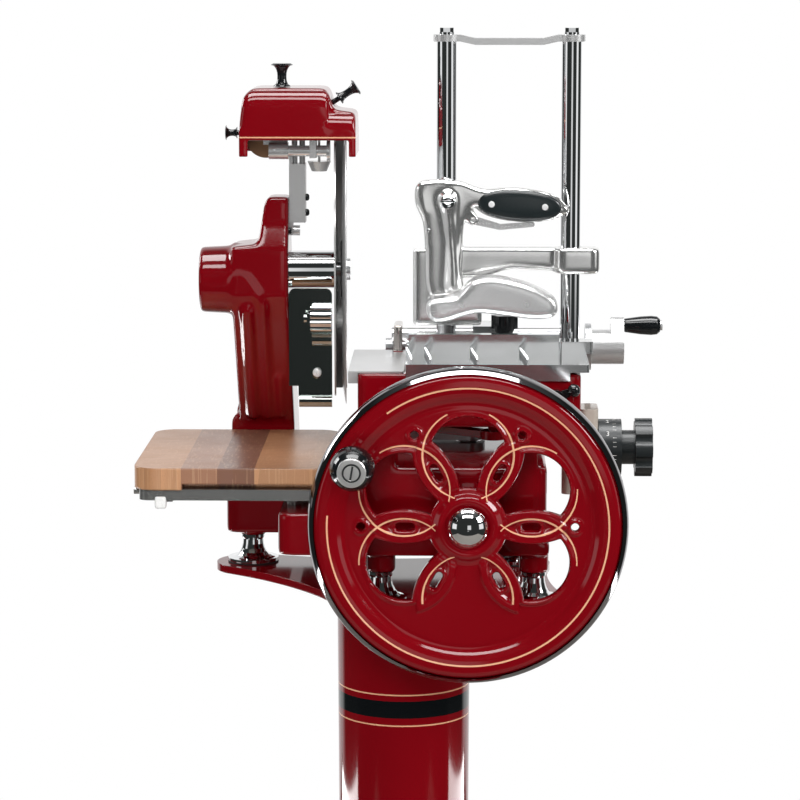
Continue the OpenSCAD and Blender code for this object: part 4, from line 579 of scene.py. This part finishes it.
# Blade guard: a thin plate with a rolled ring round the back of the blade, of nickel-plated steel
# that has dulled unevenly. A domed screw holds it to the head.
guard = bright("guard_steel", (0.47, 0.47, 0.465), 0.16, 0.10, 0.0002, 0.30, edge=0.0, fade=0.85)
guard.on("blade_guard")

# Blade: a dished disc of polished steel, held on its shaft. Its rim is ground on one side to the
# cutting edge, and the lathe has left faint rings.
BLADE_Y, BLADE_Z, GRIND_R, RINGS_PER_MM = 94, 1148.5, 150, 7.0
blade = Coat("blade_steel", (0.78, 0.79, 0.80), 0.08, 0.45)
blade_at = blade.place_mm()
from_axle = (blade_at[1] - BLADE_Y).reach(blade_at[2] - BLADE_Z)
bevelled = from_axle > GRIND_R
haze = blade.noise(24.0, 3.0)
worn = blade.blend(haze, (0.76, 0.77, 0.78), (0.84, 0.84, 0.84))
blade.put("Base Color", blade.blend(bevelled, worn, (0.80, 0.80, 0.80)))
blade.put("Roughness", 0.10 + 0.08 * haze + 0.16 * bevelled)
blade.relief((from_axle * RINGS_PER_MM).apply("SINE"), 0.0016, 0.6, 0.3)
blade.on("blade")

# Chute plate: a flat steel plate beside the blade, polished to a dark mirror, that turns the slices
# down to the board. It stands on posts and is held by a knurled chrome knob.
bright("dark_mirror", (0.50, 0.54, 0.52), 0.04, 0.03, 0.001).on("slice_deflector")
chrome.on("deflector_knob")


# Wheel knob: a ball of hard black resin, moulded and polished, that turns on a chrome spindle. The
# spindle's head shows at the front as a satin disc with a ring groove and a screw slot, whose
# hollows are painted near black as shade.
def turned(outline, steps=72):
    """A lathe form about Z: outline is a list of radius and height, in mm."""
    work = bmesh.new()
    around = [(math.cos(math.tau * k / steps), math.sin(math.tau * k / steps))
              for k in range(steps)]
    rings = [[work.verts.new((r * c * MM, r * s * MM, h * MM)) for c, s in around]
             for r, h in outline]
    for low, high in zip(rings, rings[1:]):
        for k in range(steps):
            after = (k + 1) % steps
            work.faces.new((low[k], low[after], high[after], high[k]))
    work.faces.new(list(reversed(rings[0])))
    work.faces.new(rings[-1])
    bmesh.ops.recalc_face_normals(work, faces=work.faces)
    return work


def block(size, place=(0, 0, 0), turn=0.0):
    """A plain box in mm, which cuts a slot or is a mark on the dial."""
    work = bmesh.new()
    matrix = (Matrix.Translation(Vector(place) * MM) @ Matrix.Rotation(turn, 4, "Z")
              @ Matrix.Diagonal((*[s * MM for s in size], 1)))
    bmesh.ops.create_cube(work, size=1.0, matrix=matrix)
    return work


def finished(work, name, matrix, coat, angle=35):
    mesh = bpy.data.meshes.new(name)
    work.to_mesh(mesh)
    work.free()
    mesh.transform(matrix)
    smooth_by_angle(mesh, angle)
    mesh.materials.append(coat.owner)
    return mesh


def facing(place, direction, up=(0, 0, 1)):
    """A matrix that takes Z to direction and Y near up, at a place in mm."""
    out = Vector(direction).normalized()
    across = Vector(up).cross(out).normalized()
    turned_to = Matrix((across, out.cross(across), out)).transposed().to_4x4()
    return Matrix.Translation(Vector(place) * MM) @ turned_to


def cut_from(piece, mesh):
    cutter = placed("cutter", mesh)
    shaped(piece, "BOOLEAN", object=cutter, operation="DIFFERENCE", solver="EXACT")
    bpy.data.objects.remove(cutter)


def box_mm(node):
    """The low and the high corner of a node, in mm."""
    return [Vector(corner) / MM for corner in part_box(node)]


# Radius of the spindle's disc and how far it lies behind the front, from its rod inwards
DISC = [(5.0, 7), (15.4, 6.2), (16.0, 4.5), (16.0, 1.2), (15.0, 0.3), (10.6, 0.1), (10.0, 2.4),
        (8.9, 2.4), (8.3, 0.1), (6.6, 0)]
ROD_R, RECESS_R, RECESS_DEEP = 5.0, 10.4, 0.5
SLOT_SIZE, SLOT_LEAN = (2.2, 15.6, 6.0), math.radians(-10)
knob_low, knob_high = box_mm("knob_spindle")
knob_x, knob_z = (knob_low.x + knob_high.x) / 2, (knob_low.z + knob_high.z) / 2
spindle_front, spindle_back = -knob_low.y, -knob_high.y
spindle_matrix = facing((knob_x, 0, knob_z), (0, -1, 0))
satin = bright("satin_disc", (0.74, 0.73, 0.72), 0.28, 0.10, 0.004, 0.8, edge=0.2)
satin_at = satin.place_mm()
from_knob = (satin_at[0] - knob_x).reach(satin_at[2] - knob_z)
# The ring groove and the screw slot, deeper than RECESS_DEEP behind the front, are painted near
# black: painted shade in the recesses.
sunk = (satin_at[1] > RECESS_DEEP - spindle_front) * (from_knob < RECESS_R)
satin.put("Base Color", satin.blend(sunk, (0.74, 0.73, 0.72), (0.10, 0.10, 0.10)))
spindle = turned([(ROD_R, spindle_back)] + [(r, spindle_front - behind) for r, behind in DISC])
spindle_mesh = finished(spindle, "knob_spindle_head", spindle_matrix, satin)
spindle_head = add_piece("knob_spindle_head", spindle_mesh, "wheel", "chrome", "knob_spindle")
slot = block(SLOT_SIZE, (0, 0, spindle_front), SLOT_LEAN)
cut_from(spindle_head, finished(slot, "slot", spindle_matrix, satin))


def moulded(name, colour, rough, edge=0.5):
    coat = Coat(name, colour, rough)
    grain = coat.noise(700.0, 2.0)
    coat.put("Roughness", rough + 0.10 * grain)
    coat.put("Base Color", coat.blend(grain, colour, toned(colour, 1.4)))
    coat.relief(grain, 0.01, 0.5, edge)
    return coat


resin = moulded("black_resin", (0.006, 0.007, 0.008), 0.06)
resin.on("wheel_knob")

# Foot pads: thin discs of black rubber under the bell feet, which keep the machine from creeping
# and spare the plate's enamel.
moulded("pad_rubber", (0.02, 0.02, 0.02), 0.6).on("foot_pads")

# Carriage: a red iron casting that runs on the rails, with the rod below it that the crank gear
# pulls. The brackets on its top are machined and left bare. A black-knobbed lever releases it.
BARE_ABOVE = 1043


def bare_brackets(coat, shade):
    bare = coat.place_mm()[2] > BARE_ABOVE
    coat.put("Metallic", bare * 0.85)
    return coat.blend(bare, shade, (0.55, 0.51, 0.48))


carriage_enamel = enamel("carriage_enamel", paint=bare_brackets)
casting("carriage_casting", "carriage_unit", "red", carriage_enamel, ["carriage"], 1.8, 8, keep=0.4)
enamel("rod_enamel", edge=0.6).on("connecting_rod")
resin.on("release_lever")

# Thickness dial: a pale stoved housing on the carriage, and a black knob whose drum carries the
# slice numbers, engraved and filled with white.
DIAL_X, DIAL_Y, DIAL_Z = 237.0, 20.0, 948.0
NUMBERS, THREE_AT, MARKS_EACH, MARK_SIDE = 10, 37, 3, 8
FIGURE_SIZE, FIGURE_PROUD, MARK_SIZE = 8.5, 0.12, (4.0, 0.5, 0.3)
enamel("cream_enamel", (0.50, 0.44, 0.38), edge=0.8).on("thickness_housing")
moulded("matt_resin", (0.010, 0.013, 0.014), 0.30).on("thickness_knob")
drum_r = max(math.hypot(p.co.y / MM - DIAL_Y, p.co.z / MM - DIAL_Z)
             for p in cad["thickness_knob"].data.vertices if abs(p.co.x / MM - DIAL_X) < 12)
white_paint = Coat("number_paint", (0.75, 0.75, 0.72), 0.4)
chalky = white_paint.blend(white_paint.noise(300.0), (0.70, 0.70, 0.67), (0.82, 0.82, 0.80))
white_paint.put("Base Color", chalky)


def on_drum(x, degrees):
    """A matrix that lays a figure on the drum, so many degrees up from its front."""
    c, s = math.cos(math.radians(degrees)), math.sin(math.radians(degrees))
    return facing((x, DIAL_Y - c * drum_r, DIAL_Z + s * drum_r), (0, -c, s), (0, s, c))


numbers = bmesh.new()
for number in range(NUMBERS):
    at = THREE_AT + 360 / NUMBERS * (3 - number)
    figure = bpy.data.curves.new("figure", "FONT")
    figure.body, figure.size, figure.extrude = str(number), FIGURE_SIZE * MM, FIGURE_PROUD * MM
    figure.align_x = figure.align_y = "CENTER"
    writing = bpy.data.objects.new("figure", figure)
    outline = bpy.data.meshes.new_from_object(writing)
    outline.transform(on_drum(DIAL_X, at))
    numbers.from_mesh(outline)
    bpy.data.objects.remove(writing)
    for mark in range(1, MARKS_EACH + 1):
        matrix = on_drum(DIAL_X + MARK_SIDE, at + 360 / NUMBERS * mark / (MARKS_EACH + 1))
        mesh = finished(block(MARK_SIZE), "mark", matrix, white_paint)
        numbers.from_mesh(mesh)
        bpy.data.meshes.remove(mesh)
add_piece("dial_numbers", finished(numbers, "dial_numbers", Matrix(), white_paint), "dial", "black")

# Meat table: a polished steel top with a fence and toothed strips that hold the meat, and a plate
# of satin alloy beside the blade. It slides on a plated tube, and a screw with a small crank, which
# has a black handle, moves it.
bright("mirror_steel", (0.70, 0.71, 0.71), 0.08, 0.05, 0.0004, 0.9, edge=0.0).on(
    "meat_table", "meat_fence")
alloy = bright("satin_alloy", (0.66, 0.66, 0.66), 0.26, 0.10, 0.003, 0.65, edge=0.0)
alloy.on("side_plate", "feed_crank")
plated = bright("plated_steel", (0.88, 0.88, 0.88), 0.14, 0.06, 0.001, 0.75)
plated.on("feed_rail")
ground.on("feed_screw", "meat_spikes")
resin.on("fence_knob", "feed_handle")

# Clamp: a carrier on two chrome columns, a lever with a black grip, and the shoe that holds the
# meat down, cast in light alloy, filed smooth and polished. The grip's two scales close round a
# loop of the lever, and its underside has a slot that the trigger goes into.
SHOE_UNDER = 1090.6
GRIP_GROWS, GRIP_FULL, GRIP_LEAN = (3.8, 1.6, 0.4), (0.86, 0.26, 0.92), math.radians(4)
LOOP_WIDER, LOOP_HALF_Y, LOOP_TALLER, LOOP_FULL = 4, 6.0, 1.0, (0.86, 0.5, 0.92)
TRIGGER_SLOT, TRIGGER_AT = (90, 14.4, 22), (118, 108.6, 1206)
polished = bright("polished_alloy", (0.84, 0.84, 0.83), 0.12, 0.08, 0.001, 0.9, edge=0.0)
brushed = bright("brushed_alloy", (0.78, 0.78, 0.78), 0.22, 0.08, 0.002, 0.75, edge=0.0)
brushed.on("clamp_trigger")
alloy.on("column_bridge")
chrome.on("clamp_columns", "bridge_bolts")
casting("clamp_arm", "clamp", "alloy", polished, ["clamp_carrier"], 1.2, 70, swell=1.3)
shoe = casting("clamp_foot", "clamp", "alloy", brushed, ["clamp_shoe"], 1.2, 130, swell=2.2)
for point in shoe.data.vertices:
    point.co.z = max(point.co.z, SHOE_UNDER * MM)


def fuller(value, power):
    return math.copysign(abs(value) ** power, value)


def oval(half, powers):
    """A flattened round form: half its size each way in mm, and how full it is each way."""
    work = bmesh.new()
    bmesh.ops.create_uvsphere(work, u_segments=96, v_segments=48, radius=1.0)
    for point in work.verts:
        point.co = Vector([fuller(c, p) * h for c, p, h in zip(point.co, powers, half)]) * MM
    return work


arm_rib = rib([(50, 103, 1232, 11), (52, 103, 1216, 8.0), (55, 103, 1180, 6.5),
               (57, 102, 1152, 8.5), (58, 103, 1128, 11)])
tail_rib = rib([(20, 106, 1240, 6.5), (24, 106, 1215, 7.0), (33, 107, 1196, 5.0),
                (38, 107, 1150, 4.0)])
grip_low, grip_high = box_mm("clamp_grip")
grip_middle = (grip_low + grip_high) / 2
grip_half = (grip_high - grip_low) / 2 + Vector(GRIP_GROWS)
grip_matrix = Matrix.Translation(grip_middle * MM) @ Matrix.Rotation(GRIP_LEAN, 4, "Y")
loop_half = (grip_half.x + LOOP_WIDER, LOOP_HALF_Y, grip_half.z + LOOP_TALLER)
loop = finished(oval(loop_half, LOOP_FULL), "loop", grip_matrix, polished)
casting("lever_casting", "clamp", "alloy", polished, ["clamp_lever"], 1.2, 90, swell=1.5,
        more=[arm_rib, tail_rib, loop])
grip_resin = moulded("grip_resin", (0.010, 0.014, 0.015), 0.20, edge=0.0)
grip_mesh = finished(oval(grip_half, GRIP_FULL), "grip_scales", grip_matrix, grip_resin, 60)
grip = add_piece("grip_scales", grip_mesh, "clamp", "black", "clamp_grip")
cut_from(grip, finished(block(TRIGGER_SLOT, TRIGGER_AT), "slot", Matrix(), grip_resin))

# Screws and rivets: turned steel heads that stand a little proud. Two bright rivets hold the grip's
# scales, the lever turns on a slotted screw, and black ones hold the sharpener's post to the head.
BLACK_SCREW_R = 4.2


def screw(name, body, place, direction, radius, proud, slot_turn=None, slot="chrome", coat=chrome):
    """A domed head, with a slot across it where slot_turn is given."""
    head = turned([(radius, -1.5), (radius, proud * 0.45), (radius * 0.86, proud * 0.8),
                   (radius * 0.5, proud), (radius * 0.1, proud * 1.02)], 40)
    matrix = facing(place, direction)
    piece = add_piece(name, finished(head, name, matrix, coat, 50), body, slot)
    if slot_turn is not None:
        size = (radius * 0.26, radius * 2.4, proud)
        cut = block(size, (0, 0, proud), math.radians(slot_turn))
        cut_from(piece, finished(cut, "slot", matrix, coat))


rivet = bright("rivet_alloy", (0.92, 0.92, 0.92), 0.3, 0.1, 0.002, 0.4)
for name, x, z in (("grip_rivet_left", 101.7, 1225.8), ("grip_rivet_right", 165.0, 1222.6)):
    lean = abs(x - grip_middle.x) / grip_half.x
    surface = grip_half.y * (1 - lean ** (2 / GRIP_FULL[0])) ** (GRIP_FULL[1] / 2)
    screw(name, "clamp", (x, grip_middle.y - surface, z), (0, -1, 0), 3.7, 0.7, coat=rivet)
screw("lever_screw", "clamp", (50, 91.6, 1229), (0, -1, 0.30), 8.6, 2.2, 90)
screw("lever_pin", "clamp", (51, 99.8, 1125), (0, -1, 0), 2.8, 0.8)
screw("lever_stop", "clamp", (26.8, 99.0, 1194.6), (0, -1, 0), 2.0, 0.6)
screw("plate_screw", "frame", (-103.7, 59.0, 1029.5), (0, -1, 0), 5.2, 2.6, 20, coat=rivet)
for name, place, proud in (("post_screw_upper", (-118, 94, 1234), 4.2),
                           ("post_screw_lower", (-118, 94, 1216), 4.2),
                           ("head_screw", (-137.5, 72, 1196), 4.0)):
    screw(name, "frame", place, (1, 0, 0), BLACK_SCREW_R, proud, slot="black", coat=resin)

# Sharpener: a red cast hood over its grinding stone, carried on a steel post behind the blade. Its
# upper front edge is well rounded, and a cream line is painted above its lower edge.
HOOD_LINE, HOOD_SOFT_ABOVE = 1307.5, 1314
HOOD_STEP_X, HIGH_TOP_UNDER, LOW_TOP = -90, 3, 1334
ROUND_HEIGHT, ROUND_DEPTH, ROUND_REACH = 24, 13, 40


def hood_paint(coat, shade):
    return coat.blend(abs(coat.place_mm()[2] - HOOD_LINE) < LINE_HALF, shade, CREAM)


hood_enamel = enamel("hood_enamel", paint=hood_paint)
hood = casting("sharpener_hood", "sharpener", "red", hood_enamel, ["sharpener_cover"], 1.3, 150,
               keep=0.5, above=HOOD_SOFT_ABOVE)
hood_low, hood_high = box_mm("sharpener_cover")
for point in hood.data.vertices:
    x, y, z = point.co / MM
    top = hood_high.z - HIGH_TOP_UNDER if x < HOOD_STEP_X else LOW_TOP
    rise = min(max((z - top) / ROUND_HEIGHT + 1, 0), 1)
    front = max(1 - (y - hood_low.y) / ROUND_REACH, 0)
    point.co.y += ROUND_DEPTH * (1 - math.sqrt(1 - rise * rise)) * front * MM
moulded("stone_grit", (0.16, 0.09, 0.05), 0.8).on("grinding_stone")
plated.on("sharpener_carrier")
alloy.on("sharpener_post")
resin.on("sharpener_top_knob", "sharpener_side_knob", "sharpener_tilt_knob")

# Board: staves of oiled hardwood of several widths and tones, glued side by side on end, so that
# the top shows the ends of the grain as arcs, and rounded over at the edges. It lies on a steel
# tray, which has a small white foot.
JOINTS = (-249, -208, -166, -104)
# The heart of the tree in each stave, in metres, and the stave's tone
HEARTS = [(-0.292, -0.17), (-0.205, 0.21), (-0.176, -0.16), (-0.118, 0.20), (-0.07, -0.13)]
TONES = [(0.58, 0.30, 0.15), (0.40, 0.20, 0.12), (0.21, 0.10, 0.068), (0.58, 0.30, 0.15),
         (0.58, 0.32, 0.17)]
LATE_WOOD, RAY, PORE = (0.20, 0.085, 0.04), (0.66, 0.42, 0.25), (0.14, 0.055, 0.025)


def timber():
    coat = Coat("oiled_wood", (0.5, 0.28, 0.13), 0.3)
    x, y, z = coat.split(coat.here())
    past = [x / MM > joint for joint in JOINTS]
    heart = [HEARTS[0][axis] + sum(step * (after[axis] - before[axis])
                                   for step, before, after in zip(past, HEARTS, HEARTS[1:]))
             for axis in (0, 1)]
    place = coat.add("ShaderNodeCombineXYZ", {}, [x - heart[0], y - heart[1], z * 0.25])
    arcs = coat.add(
        "ShaderNodeTexWave", {"wave_type": "RINGS", "rings_direction": "Z", "wave_profile": "SAW"},
        {"Vector": place, "Scale": 30.0, "Distortion": 3.0, "Detail": 3.0, "Detail Scale": 0.5})
    cloud = coat.noise(26.0, 4.0, 0.6, place)
    drawn_out = {"Vector": place, "Scale": (420.0, 60.0, 40.0)}
    rays = coat.noise(1.0, 2.0, 0.6, coat.add("ShaderNodeMapping", {}, drawn_out))
    pores = coat.noise(900.0, 2.0, 0.7)
    last = len(TONES) - 1
    stops = [(k / last, tone) for k, tone in enumerate(TONES)]
    tone = coat.add("ShaderNodeValToRGB", {"stops": stops}, {"Fac": sum(past) / last})
    dark = coat.blend(0.5, tone, LATE_WOOD)
    tone = coat.blend(arcs * 0.75, tone, dark)
    tone = coat.blend(cloud * 0.6, tone, dark)
    tone = coat.blend((rays > 0.60) * 0.25, tone, RAY)
    tone = coat.blend((pores > 0.66) * 0.5, tone, PORE)
    coat.put("Base Color", tone)
    coat.put("Roughness", 0.22 + 0.2 * cloud)
    coat.relief(arcs + 0.4 * pores, 0.05, 0.5, 3.0)
    return coat


timber().on("wood_board")
bright("tray_steel", (0.42, 0.42, 0.41), 0.20, 0.08, 0.001, 0.8, edge=0.0).on("board_tray")
nylon = moulded("foot_nylon", (0.75, 0.75, 0.74), 0.35, edge=0.0)
FOOT_HALF, FOOT_FULL, FOOT_AT = (6.5, 5.0, 7.0), (0.35, 0.35, 0.35), Vector((-273, -114, 905))
foot_matrix = Matrix.Translation(FOOT_AT * MM)
foot_mesh = finished(oval(FOOT_HALF, FOOT_FULL), "tray_foot", foot_matrix, nylon)
add_piece("tray_foot", foot_mesh, "frame", "cream")
